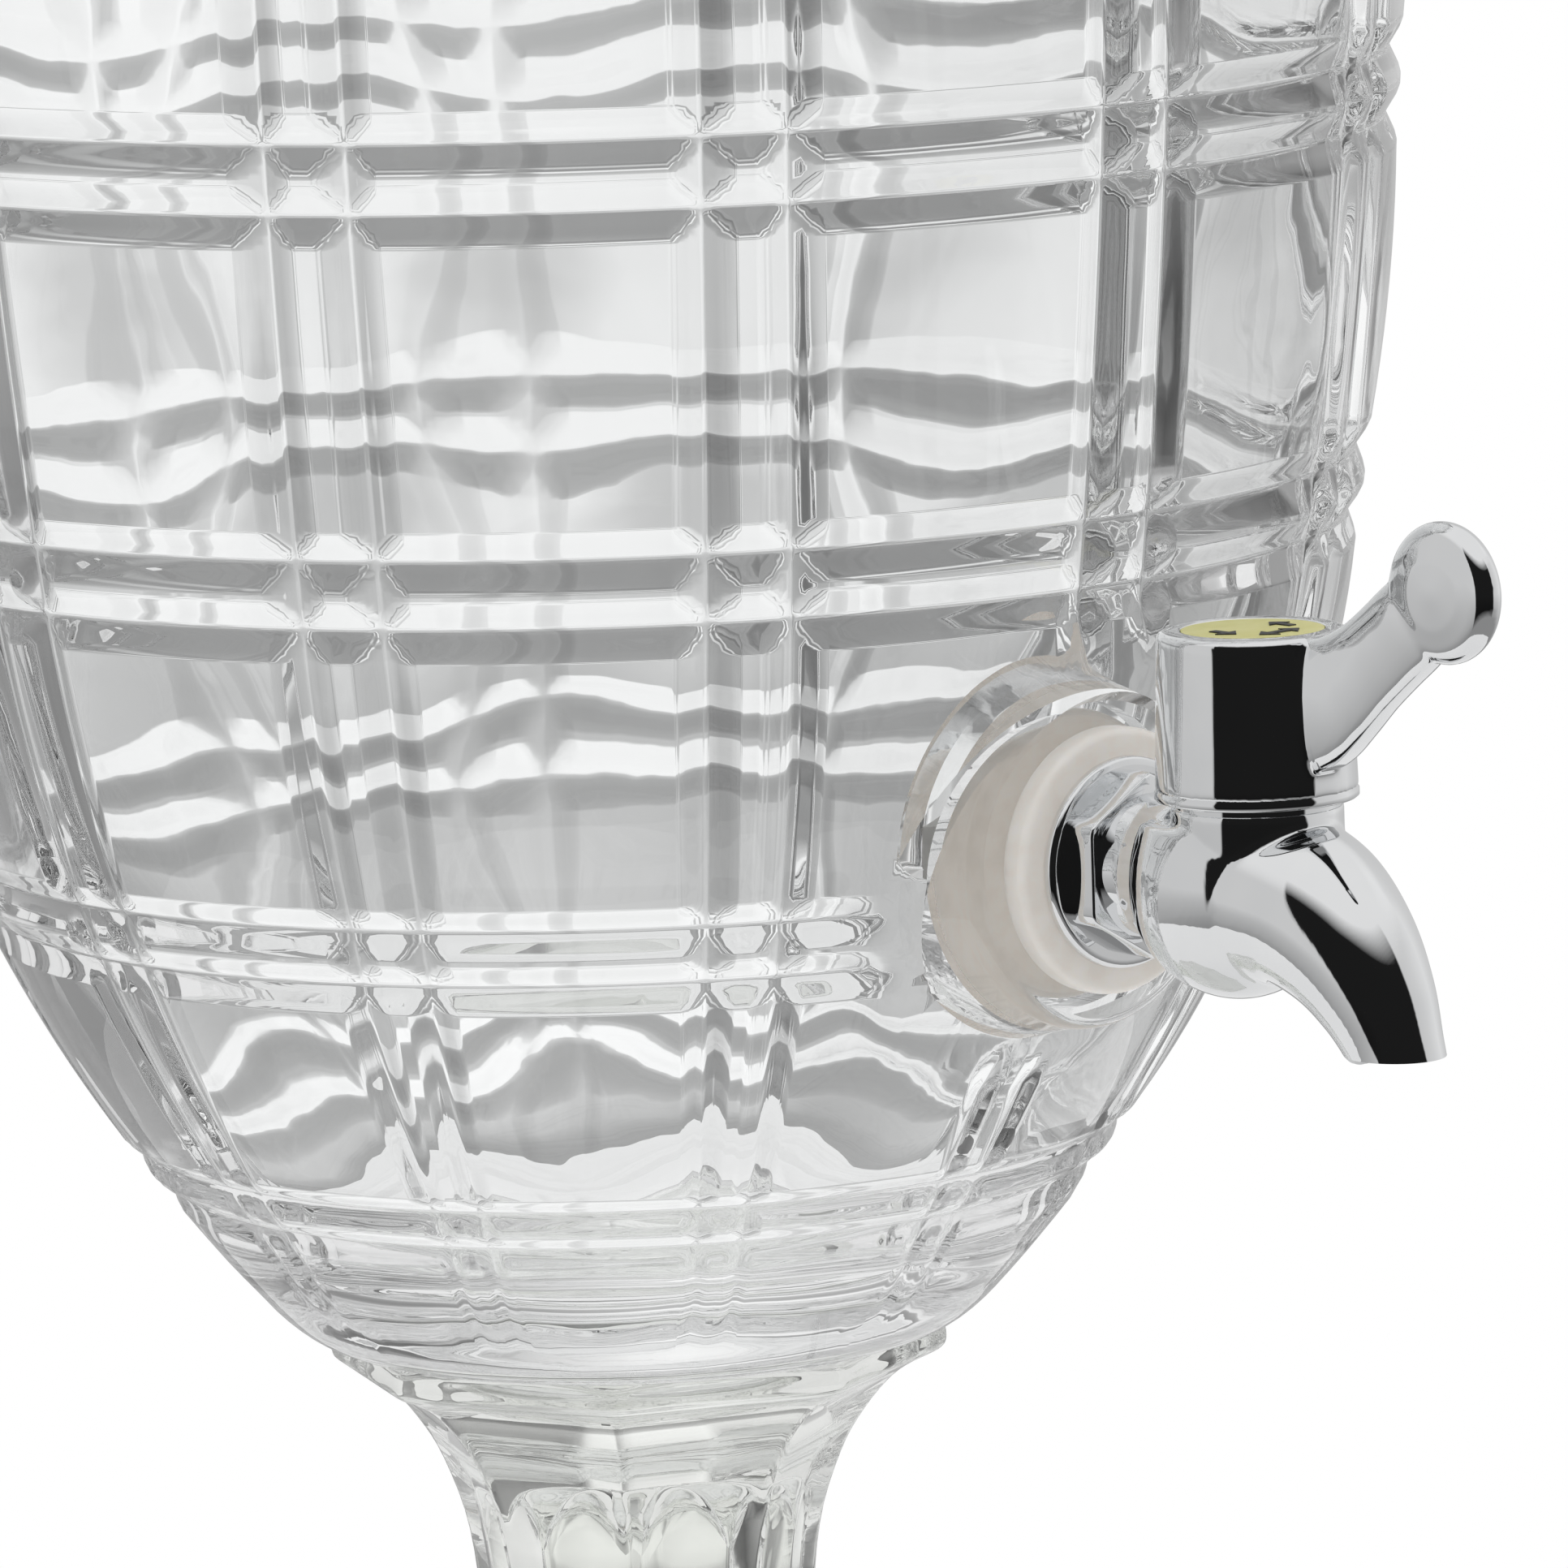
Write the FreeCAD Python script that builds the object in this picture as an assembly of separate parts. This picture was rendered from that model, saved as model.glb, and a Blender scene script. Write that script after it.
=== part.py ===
import FreeCAD, Part
import math
import os

# Footed glass drink dispenser: a cut-glass vessel in a separate glass stand, a lift-off
# glass lid and a quarter-turn tap.  Millimetres, +Z up, origin under the centre of the
# foot, tap towards -Y.

Vec = FreeCAD.Vector
UP = Vec(0, 0, 1)
ORIGIN = Vec(0, 0, 0)

# ---- vessel: the side is two tangent arcs, then a shoulder and a short neck ----
max_radius = 110.5            # widest outer radius
widest_z = 339.5              # height of the widest point
upper_arc_radius = 727.4
lower_arc_radius = 196.8
arc_join_angle = 8.87         # degrees below level where the two arcs meet
wall = 6.0
ledge_z = 116.3               # level ring under the side, which rests on the stand
ledge_edge_radius = 40.0
side_start_z = 122.0          # the side is rounded from here down to the ledge
plug_radius = 35.5            # short round base below the ledge, which locates in the stand
plug_depth = 4.2
floor_thickness = 9.0         # glass between the ledge and the inner floor
shoulder_start_z = 372.0
shoulder_radius = 30.0
shoulder_turn = 62.0          # degrees of shoulder before the neck fillet
neck_fillet = 8.0
rim_z = 414.0
rim_crown = 1.8               # height of the rounded rim above its two edges

# ---- cut pattern: pairs of V grooves, round the vessel and up its side ----
row_heights = [337.0, 283.5, 230.1, 181.0, 141.0]
row_half_gap = 4.5            # from the middle of a pair to the bottom of one groove
row_half_width = 4.3
column_half_gap = 5.6
column_half_width = 4.6
groove_depth = 2.3
columns = 12
column_low_z = 134.0
column_high_z = 368.0
column_stations = 12          # cross sections along each upright groove
column_overshoot = 1.7        # how far each cutter stands out of the glass, in groove depths

# ---- tap seat in the glass ----
tap_z = 190.2                 # height of the tap's axis
tap_hole_radius = 8.3
boss_radius = 22.4
boss_face = 96.0              # distance of each face from the vessel's axis
boss_edge_round = 2.0
boss_reach = 120.0            # beyond the glass, where cuts into the boss begin
seat_face = 86.0
seat_radius = 20.0
seat_reach = 60.0             # inside the glass, where cuts into the seat begin

# ---- tap ----
outer_washer_radius = 17.3
outer_washer_thickness = 4.0
outer_washer_round = 1.2
inner_washer_radius = 18.8
inner_washer_thickness = 3.0
inner_washer_round = 0.8
washer_gap = 0.1              # radial, round the tap's tail
nut_across_flats = 25.0
nut_thickness = 6.0
nut_collar_radius = 14.0
nut_collar_thickness = 1.5
shank_radius = 7.9
shank_bore_radius = 4.5
shank_end = 74.0
thread_pitch = 2.0
thread_depth = 0.7
flange_radius = 13.8
flange_thickness = 1.8
hex_across_flats = 21.3
hex_length = 4.2
neck_radius = 9.2
barrel_axis = 125.6           # distance of the barrel's axis from the vessel's axis
bulb_half_sizes = (13.0, 15.4, 15.0)
bulb_offset = 121.4
bulb_z = 189.8
bulb_back = 112.6             # the bulb is cut off square here
collar_radius = 11.0
collar_top = 200.4
collar_bottom = 190.0
barrel_radius = 10.7
barrel_top = 206.0
# the spout's centre line: (distance from the vessel's axis, height, outer radius)
spout_stations = [(127.0, 188.5, 11.0), (135.0, 187.3, 10.6), (142.3, 182.8, 9.0),
                  (147.6, 176.4, 7.3), (151.4, 167.4, 5.65)]
spout_tip_z = 170.6           # the spout is cut off level here
spout_bore_scale = 0.62       # bore of the spout over its outer size
plug_bore_radius = 8.0
plug_clearance = 0.06         # radial
plug_bottom = 180.5
plug_floor_gap = 0.2          # under the plug, at the bottom of its bore
plug_shoulder_z = 206.3       # top of the plug's round part
plug_port_radius = 3.8
o_ring_wire = 0.9
o_ring_heights = (184.0, 196.5)
o_ring_gap = 0.04             # between each ring and the walls of its groove
drive_square = 9.0
drive_top = 212.0

# ---- handle ----
cap_bottom = 201.0
cap_top = 222.6
cap_bottom_radius = 13.0
cap_top_radius = 12.3
cap_edge_round = 1.0
cap_cavity_radius = 11.1
cap_cavity_top = 206.6
paddle_offset = 160.4
paddle_z = 229.9
paddle_radius = 9.0
paddle_thickness = 5.2
paddle_edge_round = 2.3
arm_thickness = 4.6
# edges of the arm in the plane of symmetry: (distance from the vessel's axis, height)
arm_top_outline = [(134.0, 222.0), (138.5, 222.0), (145.0, 224.5), (153.2, 230.2)]
arm_bottom_outline = [(159.4, 223.0), (152.6, 217.0), (145.5, 212.6), (138.2, 207.0), (134.0, 205.5)]
disc_radius = 9.1
disc_thickness = 1.2
disc_recess = 1.3
arrow_thickness = 0.15
arrow_place = 4.9             # from the disc's middle to the middle of an arrow
arrow_length = 4.4
arrow_width = 3.6
arrow_stem_width = 1.2
arrow_head_length = 2.0
double_arrow_length = 7.0
screw_shank_radius = 1.5
screw_head_radius = 3.4
screw_head_height = 2.2
screw_length = 12.0
screw_washer_radius = 4.4
screw_washer_thickness = 0.6
screw_seat_z = 216.8
screw_well_radius = 4.8
screw_head_round = 0.8
screw_slot = (3.6, 0.8)       # length and width of each arm of the cross slot
screw_slot_depth = 1.2
screw_hole_gap = 0.3
small_gap = 0.05
small_step = 0.1

# ---- lid ----
lid_radius = 91.5
lid_edge = 4.0
lid_skirt_radius = 82.6
lid_skirt_depth = 7.0
lid_wall = 5.0
dome_base_radius = 84.0
dome_height = 26.0
lid_edge_bevel = 1.0
lid_skirt_taper = 0.5
knob_root_radius = 14.0
knob_root_depth = 3.0         # how far the knob is let into the dome
knob_neck_radius = 9.0
knob_neck_z = 449.0
knob_centre_z = 463.0
knob_radius = 17.5
knob_sides = 8
# the knob's outline: (height above its middle, share of its radius)
knob_outline = [(-9.0, 0.86), (0.0, 1.0), (9.0, 0.86), (16.0, 0.42)]

# ---- stand: an eight-sided pedestal, hollow from below ----
sides = 8
flange_corner = 42.35         # distance of the top flange's corners from the axis
flange_low_z = 112.2
foot_edge_z = 7.0
foot_corner = 80.0
foot_bevel = 1.0
flange_bevel = 0.7
# the flare from the foot to the flange: (height, distance of a corner from the axis)
flare_outline = [(7.0, 80.0), (13.0, 66.0), (22.0, 48.5), (36.0, 34.2), (55.0, 26.0), (75.0, 23.3),
                 (88.0, 24.2), (98.0, 27.4), (104.0, 30.9), (108.6, 34.9), (111.0, 38.4), (112.2, 41.4)]
hollow_outline = [(0.0, 73.0), (7.0, 63.0), (15.0, 47.5), (27.0, 31.5), (42.0, 22.0), (60.0, 17.0),
                  (80.0, 15.5), (93.0, 16.0)]
hollow_dome_z = 100.0
hollow_dome_share = 0.5       # size of the hollow's flat top over its mouth
cup_clearance = 0.5
cup_depth = 4.6

os.makedirs("parts", exist_ok=True)


def save(name, shape):
    """Write one sub-part to its own file."""
    shape.exportStep("parts/" + name + ".step")


def along_tap(distance, across=0.0, height=tap_z):
    """A point at a distance from the vessel's axis, out towards the tap."""
    return Vec(across, -distance, height)


def tap_cylinder(radius, near, far):
    """A round bar on the tap's level axis, from near to far from the vessel's axis."""
    return Part.makeCylinder(radius, far - near, along_tap(near), Vec(0, -1, 0))


def tap_hexagon(across_flats, near, far):
    """A hexagonal bar on the tap's level axis, with one corner up and one down."""
    corner = across_flats / math.sqrt(3.0)
    points = []
    for step in range(7):
        angle = math.radians(60.0 * step + 30.0)
        points.append(along_tap(near, corner * math.cos(angle), tap_z + corner * math.sin(angle)))
    return Part.Face(Part.makePolygon(points)).extrude(Vec(0, near - far, 0))


def upright(radius, low, high, offset=barrel_axis):
    """A round bar on an upright axis, by default the barrel's."""
    return Part.makeCylinder(radius, high - low, Vec(0, -offset, low), UP)


# ---- the vessel's side as a curve measured by its length from where its arcs meet ----
join = math.radians(arc_join_angle)
upper_centre = (max_radius - upper_arc_radius, widest_z)
join_point = (upper_centre[0] + upper_arc_radius * math.cos(join),
              upper_centre[1] - upper_arc_radius * math.sin(join))
lower_centre = (join_point[0] - lower_arc_radius * math.cos(join),
                join_point[1] + lower_arc_radius * math.sin(join))


def side_at(length, inset=0.0):
    """Radius and height of the side at a length along it, moved inwards by inset."""
    if length >= 0.0:
        angle = length / upper_arc_radius - join
        centre, radius = upper_centre, upper_arc_radius
    else:
        angle = length / lower_arc_radius - join
        centre, radius = lower_centre, lower_arc_radius
    reach = radius - inset
    return (centre[0] + reach * math.cos(angle), centre[1] + reach * math.sin(angle))


def length_at(height):
    """The length along the side at which it has this height."""
    if height >= join_point[1]:
        return (math.asin((height - upper_centre[1]) / upper_arc_radius) + join) * upper_arc_radius
    return (math.asin((height - lower_centre[1]) / lower_arc_radius) + join) * lower_arc_radius


def flat_point(pair):
    """A (radius, height) pair as a point in the half plane that is turned about Z."""
    return Vec(pair[0], 0, pair[1])


def side_edges(start, end, inset=0.0):
    """Edges along the side between two lengths, split where the arcs meet."""
    stops = [start, end]
    if min(start, end) < 0.0 < max(start, end):
        stops = [start, 0.0, end]
    edges = []
    for first, last in zip(stops[:-1], stops[1:]):
        middle = 0.5 * (first + last)
        # the middle decides which of the two arcs a stretch belongs to
        points = [side_at(value, inset) for value in (first, middle, last)]
        edges.append(Part.Arc(*[flat_point(p) for p in points]).toShape())
    return edges


def line(first, last):
    """A straight edge between two (radius, height) pairs."""
    return Part.LineSegment(flat_point(first), flat_point(last)).toShape()


def arc_about(centre, radius, start, end):
    """An arc edge about a (radius, height) centre, from one angle to another in degrees."""
    points = []
    for angle in (start, 0.5 * (start + end), end):
        turn = math.radians(angle)
        points.append(Vec(centre[0] + radius * math.cos(turn), 0, centre[1] + radius * math.sin(turn)))
    return Part.Arc(*points).toShape()


def end_pair(edge, last=True):
    """The (radius, height) of an edge's last or first point."""
    point = edge.valueAt(edge.LastParameter if last else edge.FirstParameter)
    return (point.x, point.z)


def turned(edges):
    """The solid made by turning a closed outline about the upright axis."""
    return Part.Face(Part.Wire(edges)).revolve(ORIGIN, UP, 360)


def neck_edges(inset):
    """Shoulder, fillet and neck, from the side's end to the rim, moved inwards by inset."""
    start = length_at(shoulder_start_z)
    tilt = math.degrees(start / upper_arc_radius - join)
    foot = side_at(start, shoulder_radius)
    shoulder = arc_about(foot, shoulder_radius - inset, tilt, shoulder_turn)
    turn = math.radians(shoulder_turn)
    reach = shoulder_radius + neck_fillet
    centre = (foot[0] + reach * math.cos(turn), foot[1] + reach * math.sin(turn))
    fillet = arc_about(centre, neck_fillet + inset, 180.0 + shoulder_turn, 180.0)
    neck_radius_here = centre[0] - neck_fillet - inset
    neck = line((neck_radius_here, centre[1]), (neck_radius_here, rim_z))
    return [shoulder, fillet, neck]


def ledge_rounding(start):
    """The smooth curve from the ledge's edge up to the side at a length along it."""
    near = side_at(start)
    below = side_at(start - small_step)
    slope = (near[0] - below[0]) / (near[1] - below[1])
    corner = (near[0] - slope * (near[1] - ledge_z), ledge_z)
    curve = Part.BezierCurve()
    curve.setPoles([flat_point((ledge_edge_radius, ledge_z)), flat_point(corner), flat_point(near)])
    return curve.toShape()


def vessel_blank():
    """The vessel turned in one piece, with the grooves that run round it."""
    base_z = ledge_z - plug_depth
    start = length_at(side_start_z)
    edges = [line((0, base_z), (plug_radius, base_z)),
             line((plug_radius, base_z), (plug_radius, ledge_z)),
             line((plug_radius, ledge_z), (ledge_edge_radius, ledge_z)),
             ledge_rounding(start)]
    here = start
    for height in reversed(row_heights):
        middle = length_at(height)
        for side in (-1, 1):
            bottom = middle + side * row_half_gap
            near = bottom - row_half_width
            far = bottom + row_half_width
            edges += side_edges(here, near)
            edges.append(line(side_at(near), side_at(bottom, groove_depth)))
            edges.append(line(side_at(bottom, groove_depth), side_at(far)))
            here = far
    top = length_at(shoulder_start_z)
    edges += side_edges(here, top)
    outer_neck = neck_edges(0.0)
    inner_neck = neck_edges(wall)
    rim_outer = (neck_outer_radius(), rim_z)
    rim_middle = (rim_outer[0] - 0.5 * wall, rim_z + rim_crown)
    rim_inner = (rim_outer[0] - wall, rim_z)
    rim = Part.Arc(flat_point(rim_outer), flat_point(rim_middle), flat_point(rim_inner)).toShape()
    floor_length = length_on_inside(ledge_z + floor_thickness)
    floor_corner = side_at(floor_length, wall)
    floor_middle = (0, floor_corner[1])
    edges += outer_neck + [rim] + inner_neck
    edges += side_edges(floor_length, top, wall)
    edges += [line(floor_corner, floor_middle), line(floor_middle, (0, base_z))]
    return turned(Part.__sortEdges__(edges))


def neck_outer_radius():
    """Outer radius of the vessel's neck."""
    return end_pair(neck_edges(0.0)[2])[0]


def length_on_inside(height):
    """The length along the side at which its inner face has this height."""
    reach = lower_arc_radius - wall
    return (math.asin((height - lower_centre[1]) / reach) + join) * lower_arc_radius


def groove_cutter(offset):
    """A V-shaped bar that follows the side, offset sideways from the plane towards the tap."""
    sections = []
    low = length_at(column_low_z)
    high = length_at(column_high_z)
    for station in range(column_stations):
        length = low + (high - low) * station / (column_stations - 1.0)
        radius, height = side_at(length)
        # how far one millimetre of depth reaches when it is measured level
        level_depth = 1.0 / (radius - side_at(length, 1.0)[0])
        middle = math.sqrt(radius ** 2 - offset ** 2)
        bottom = middle - groove_depth * level_depth
        corners = [Vec(offset, -bottom, height)]
        for way in (-1, 1):
            edge = math.sqrt(radius ** 2 - (offset + way * column_half_width) ** 2)
            rise = (edge - bottom) * column_overshoot
            corners.append(Vec(offset + way * column_half_width * column_overshoot, -bottom - rise, height))
        sections.append(Part.makePolygon(corners + corners[:1]))
    return Part.makeLoft(sections, True, False)


def vessel():
    """The glass vessel: turned blank, upright grooves, tap boss, seat and hole."""
    body = vessel_blank()
    cutters = []
    for column in range(columns):
        for side in (-1, 1):
            cutter = groove_cutter(side * column_half_gap)
            cutter.rotate(ORIGIN, UP, 360.0 * column / columns)
            cutters.append(cutter)
    body = body.cut(cutters)
    boss = tap_cylinder(boss_radius, seat_face, boss_face)
    face_edges = [edge for edge in boss.Edges if abs(edge.CenterOfMass.y + boss_face) < small_gap]
    boss = boss.makeFillet(boss_edge_round, face_edges)
    body = body.fuse(boss)
    # the wall leans out over the top of the boss, so the washer's seat is faced level
    body = body.cut(tap_cylinder(boss_radius - boss_edge_round, boss_face, boss_reach))
    body = body.cut(tap_cylinder(seat_radius, seat_reach, seat_face))
    return body.cut(tap_cylinder(tap_hole_radius, seat_reach, boss_reach))


def ring(radius, near, far, edge_round):
    """A washer on the tap's axis with rounded outer edges."""
    disc = tap_cylinder(radius, near, far)
    rims = [edge for edge in disc.Edges if edge.Length > 6.0 * radius]
    return disc.makeFillet(edge_round, rims).cut(tap_cylinder(shank_radius + washer_gap, near, far))


def lock_nut():
    """The nut inside the vessel, hexagonal with a round collar against the washer."""
    collar_near = nut_face - nut_collar_thickness
    body = tap_hexagon(nut_across_flats, nut_face - nut_thickness, collar_near)
    body = body.fuse(tap_cylinder(nut_collar_radius, collar_near, nut_face))
    return body.cut(tap_cylinder(shank_radius + small_gap, nut_face - nut_thickness, nut_face))


def turned_about_tap(outline_edges):
    """The solid made by turning a closed outline about the tap's level axis."""
    return Part.Face(Part.Wire(outline_edges)).revolve(along_tap(0.0), Vec(0, 1, 0), 360)


def shank(near, far):
    """The tap's threaded tail as a turned bar with one ridge for each turn of thread."""
    root = shank_radius - thread_depth
    outline = [(near, 0.0), (near, root)]
    place = near + 0.5 * thread_pitch
    while place + thread_pitch < far:
        outline.append((place, root))
        outline.append((place + 0.4 * thread_pitch, shank_radius))
        outline.append((place + 0.6 * thread_pitch, shank_radius))
        place += thread_pitch
    outline += [(place, root), (far, root), (far, 0.0), (near, 0.0)]
    points = [along_tap(distance, radius) for distance, radius in outline]
    return turned_about_tap(Part.makePolygon(points).Edges)


def spout_bar(scale, extra):
    """A tapering bent round bar along the spout, with its radii scaled, longer by extra at the tip."""
    rings = []
    last = len(spout_stations) - 1
    for index, (distance, height, radius) in enumerate(spout_stations):
        before = spout_stations[max(index - 1, 0)]
        after = spout_stations[min(index + 1, last)]
        direction = Vec(0, before[0] - after[0], after[1] - before[1]).normalize()
        place = Vec(0, -distance, height)
        if index == last:
            place = place + direction * extra
        rings.append(Part.Wire(Part.makeCircle(radius * scale, place, direction)))
    return Part.makeLoft(rings, True, False)


def bulb():
    """The rounded valve body, with a blunt back and cut off level at the collar."""
    sizes = FreeCAD.Matrix()
    sizes.scale(*bulb_half_sizes)
    body = Part.makeSphere(1.0).transformGeometry(sizes)
    body.translate(along_tap(bulb_offset, 0.0, bulb_z))
    return body.cut([upright(2.0 * collar_radius, collar_top, cap_top),
                     tap_cylinder(2.0 * collar_radius, washer_front, bulb_back)])


def tap_body():
    """Shank, flange, hexagon, bulb, spout and barrel moulded as one piece, bored for flow."""
    hex_near = washer_front + flange_thickness
    hex_far = hex_near + hex_length
    pieces = [shank(shank_end, washer_front + 0.5 * flange_thickness),
              tap_cylinder(flange_radius, washer_front, hex_near),
              tap_hexagon(hex_across_flats, hex_near, hex_far),
              tap_cylinder(neck_radius, hex_far, barrel_axis),
              upright(collar_radius, collar_bottom, collar_top),
              upright(barrel_radius, collar_top, barrel_top),
              spout_bar(1.0, 0.0)]
    body = bulb().fuse(pieces)
    tip = spout_stations[-1]
    below_tip = Part.makeCylinder(3.0 * tip[2], tip[2] + spout_tip_z - tip[1],
                                  along_tap(tip[0], 0.0, tip[1] - tip[2]), UP)
    flow = [tap_cylinder(shank_bore_radius, shank_end - 1.0, barrel_axis),
            spout_bar(spout_bore_scale, 1.0),
            upright(plug_bore_radius, plug_bottom - plug_floor_gap, barrel_top + 1.0)]
    return body.cut([below_tip] + flow).removeSplitter()


def drive_box(half, low, high):
    """A square bar on the barrel's axis, half as wide each way."""
    return Part.makeBox(2.0 * half, 2.0 * half, high - low, Vec(-half, -barrel_axis - half, low))


def valve_plug():
    """The turning plug: a cylinder with a cross port and a square drive on top."""
    radius = plug_bore_radius - plug_clearance
    plug = upright(radius, plug_bottom, plug_shoulder_z)
    plug = plug.fuse(drive_box(0.5 * drive_square, plug_shoulder_z - 1.0, drive_top))
    port = Part.makeCylinder(plug_port_radius, 4.0 * radius,
                             Vec(-2.0 * radius, -barrel_axis, tap_z), Vec(1, 0, 0))
    screw_hole = upright(screw_shank_radius, screw_seat_z - screw_length, drive_top + 1.0)
    plug = plug.cut([port, screw_hole])
    for height in o_ring_heights:
        low = height - o_ring_wire
        high = height + o_ring_wire
        groove = upright(radius + 1.0, low, high)
        plug = plug.cut(groove.cut(upright(radius - 2.0 * o_ring_wire + o_ring_gap, low, high)))
    return plug


def o_ring(height):
    """A sealing ring round the plug."""
    radius = plug_bore_radius - plug_clearance - o_ring_wire + 0.5 * o_ring_gap
    return Part.makeTorus(radius, o_ring_wire - o_ring_gap, Vec(0, -barrel_axis, height), UP)


def handle_arm():
    """The flat arm from the cap to the paddle."""
    top = Part.BSplineCurve()
    top.interpolate([Vec(0, -distance, height) for distance, height in arm_top_outline])
    bottom = Part.BSplineCurve()
    bottom.interpolate([Vec(0, -distance, height) for distance, height in arm_bottom_outline])
    tip = Part.LineSegment(top.EndPoint, bottom.StartPoint).toShape()
    root = Part.LineSegment(bottom.EndPoint, top.StartPoint).toShape()
    web = Part.Face(Part.Wire([top.toShape(), tip, bottom.toShape(), root]))
    web.translate(Vec(-0.5 * arm_thickness, 0, 0))
    return web.extrude(Vec(arm_thickness, 0, 0))


def paddle():
    """The round thumb piece, standing upright in the plane of the tap."""
    blank = Part.makeCylinder(paddle_radius, paddle_thickness,
                              Vec(-0.5 * paddle_thickness, -paddle_offset, paddle_z), Vec(1, 0, 0))
    rims = [edge for edge in blank.Edges if edge.Length > 6.0 * paddle_radius]
    return blank.makeFillet(paddle_edge_round, rims)


def handle_cap():
    """The cap over the barrel with its arm and round paddle."""
    cap = Part.makeCone(cap_bottom_radius, cap_top_radius, cap_top - cap_bottom,
                        Vec(0, -barrel_axis, cap_bottom), UP)
    rims = [edge for edge in cap.Edges if abs(edge.CenterOfMass.z - cap_top) < small_gap]
    cap = cap.makeFillet(cap_edge_round, rims)
    cap = cap.fuse([handle_arm(), paddle()])
    hollows = [upright(cap_cavity_radius, cap_bottom - 1.0, cap_cavity_top),
               drive_box(0.5 * drive_square + small_gap, cap_cavity_top - 1.0, drive_top),
               upright(screw_shank_radius + screw_hole_gap, drive_top - 1.0, cap_top),
               upright(screw_well_radius, screw_seat_z, cap_top + 1.0),
               upright(disc_radius + small_gap, cap_top - disc_recess, cap_top + 1.0)]
    return cap.cut(hollows)


def screw_washer():
    """The flat washer under the screw's head."""
    top = screw_seat_z + screw_washer_thickness
    blank = upright(screw_washer_radius, screw_seat_z, top)
    return blank.cut(upright(screw_shank_radius + small_gap, screw_seat_z, top))


def handle_screw():
    """Pan-head screw that holds the cap on the plug, with a cross slot."""
    seat = screw_seat_z + screw_washer_thickness
    crown = seat + screw_head_height
    head = upright(screw_head_radius, seat, crown)
    rims = [edge for edge in head.Edges if abs(edge.CenterOfMass.z - crown) < small_gap]
    head = head.makeFillet(screw_head_round, rims)
    body = head.fuse(upright(screw_shank_radius, screw_seat_z - screw_length + 1.0, seat + small_gap))
    slots = []
    for across, along in (screw_slot, screw_slot[::-1]):
        corner = Vec(-0.5 * across, -barrel_axis - 0.5 * along, crown - screw_slot_depth)
        slots.append(Part.makeBox(across, along, 2.0 * screw_slot_depth, corner))
    return body.cut(slots)


def arrow(turn, length, double):
    """A flat arrow lying on the disc, with one head or two, turned about the barrel's axis."""
    half = 0.5 * length
    stem = 0.5 * arrow_stem_width
    head = half - arrow_head_length
    right = [(head, -stem), (head, -0.5 * arrow_width), (half, 0.0), (head, 0.5 * arrow_width), (head, stem)]
    left = [(-half, stem), (-half, -stem)]
    if double:
        left = [(-x, -y) for x, y in right]
    outline = right + left + right[:1]
    points = [Vec(x, y - arrow_place, disc_top) for x, y in outline]
    shape = Part.Face(Part.makePolygon(points)).extrude(Vec(0, 0, arrow_thickness))
    shape.rotate(ORIGIN, UP, turn)
    shape.translate(Vec(0, -barrel_axis, 0))
    return shape


def polygon(radius, height, count):
    """A level regular polygon as a closed wire, with a corner towards the tap."""
    points = []
    for step in range(count + 1):
        angle = 2.0 * math.pi * step / count
        points.append(Vec(radius * math.sin(angle), -radius * math.cos(angle), height))
    return Part.makePolygon(points)


def knob(crown):
    """The lid's faceted knob on a short neck, let into the top of the dome."""
    levels = [(crown - knob_root_depth, knob_root_radius), (crown + 2.0, knob_neck_radius),
              (knob_neck_z, knob_neck_radius)]
    for rise, share in knob_outline:
        levels.append((knob_centre_z + rise, share * knob_radius))
    return Part.makeLoft([polygon(radius, height, knob_sides) for height, radius in levels], True, True)


def lid():
    """Domed lid with a rim that rests on the vessel, a locating skirt and a faceted knob."""
    rest = rim_z + rim_crown
    top = rest + lid_edge
    crown = top + dome_height
    # the dome is a spherical cap through the top of the rim and the crown
    sphere = (dome_base_radius ** 2 + dome_height ** 2) / (2.0 * dome_height)
    centre = (0.0, crown - sphere)
    base_angle = math.degrees(math.asin((top - centre[1]) / sphere))
    inner_base_angle = math.degrees(math.asin((rest - centre[1]) / (sphere - lid_wall)))
    dome = arc_about(centre, sphere, base_angle, 90.0)
    under = arc_about(centre, sphere - lid_wall, inner_base_angle, 90.0)
    skirt_bottom = rest - lid_skirt_depth
    corners = [end_pair(dome, last=False), (lid_radius - lid_edge_bevel, top),
               (lid_radius, top - lid_edge_bevel), (lid_radius, rest), (lid_skirt_radius, rest),
               (lid_skirt_radius - lid_skirt_taper, skirt_bottom),
               (lid_skirt_radius - lid_wall, skirt_bottom), end_pair(under, last=False)]
    edges = [dome, under, line((0, crown - lid_wall), (0, crown))]
    for first, last in zip(corners[:-1], corners[1:]):
        edges.append(line(first, last))
    body = turned(Part.__sortEdges__(edges))
    return body.fuse(knob(crown))


def eight_sided(outline, ruled):
    """A solid through level octagons, given as (height, corner distance) pairs."""
    return Part.makeLoft([polygon(radius, height, sides) for height, radius in outline], True, ruled)


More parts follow.
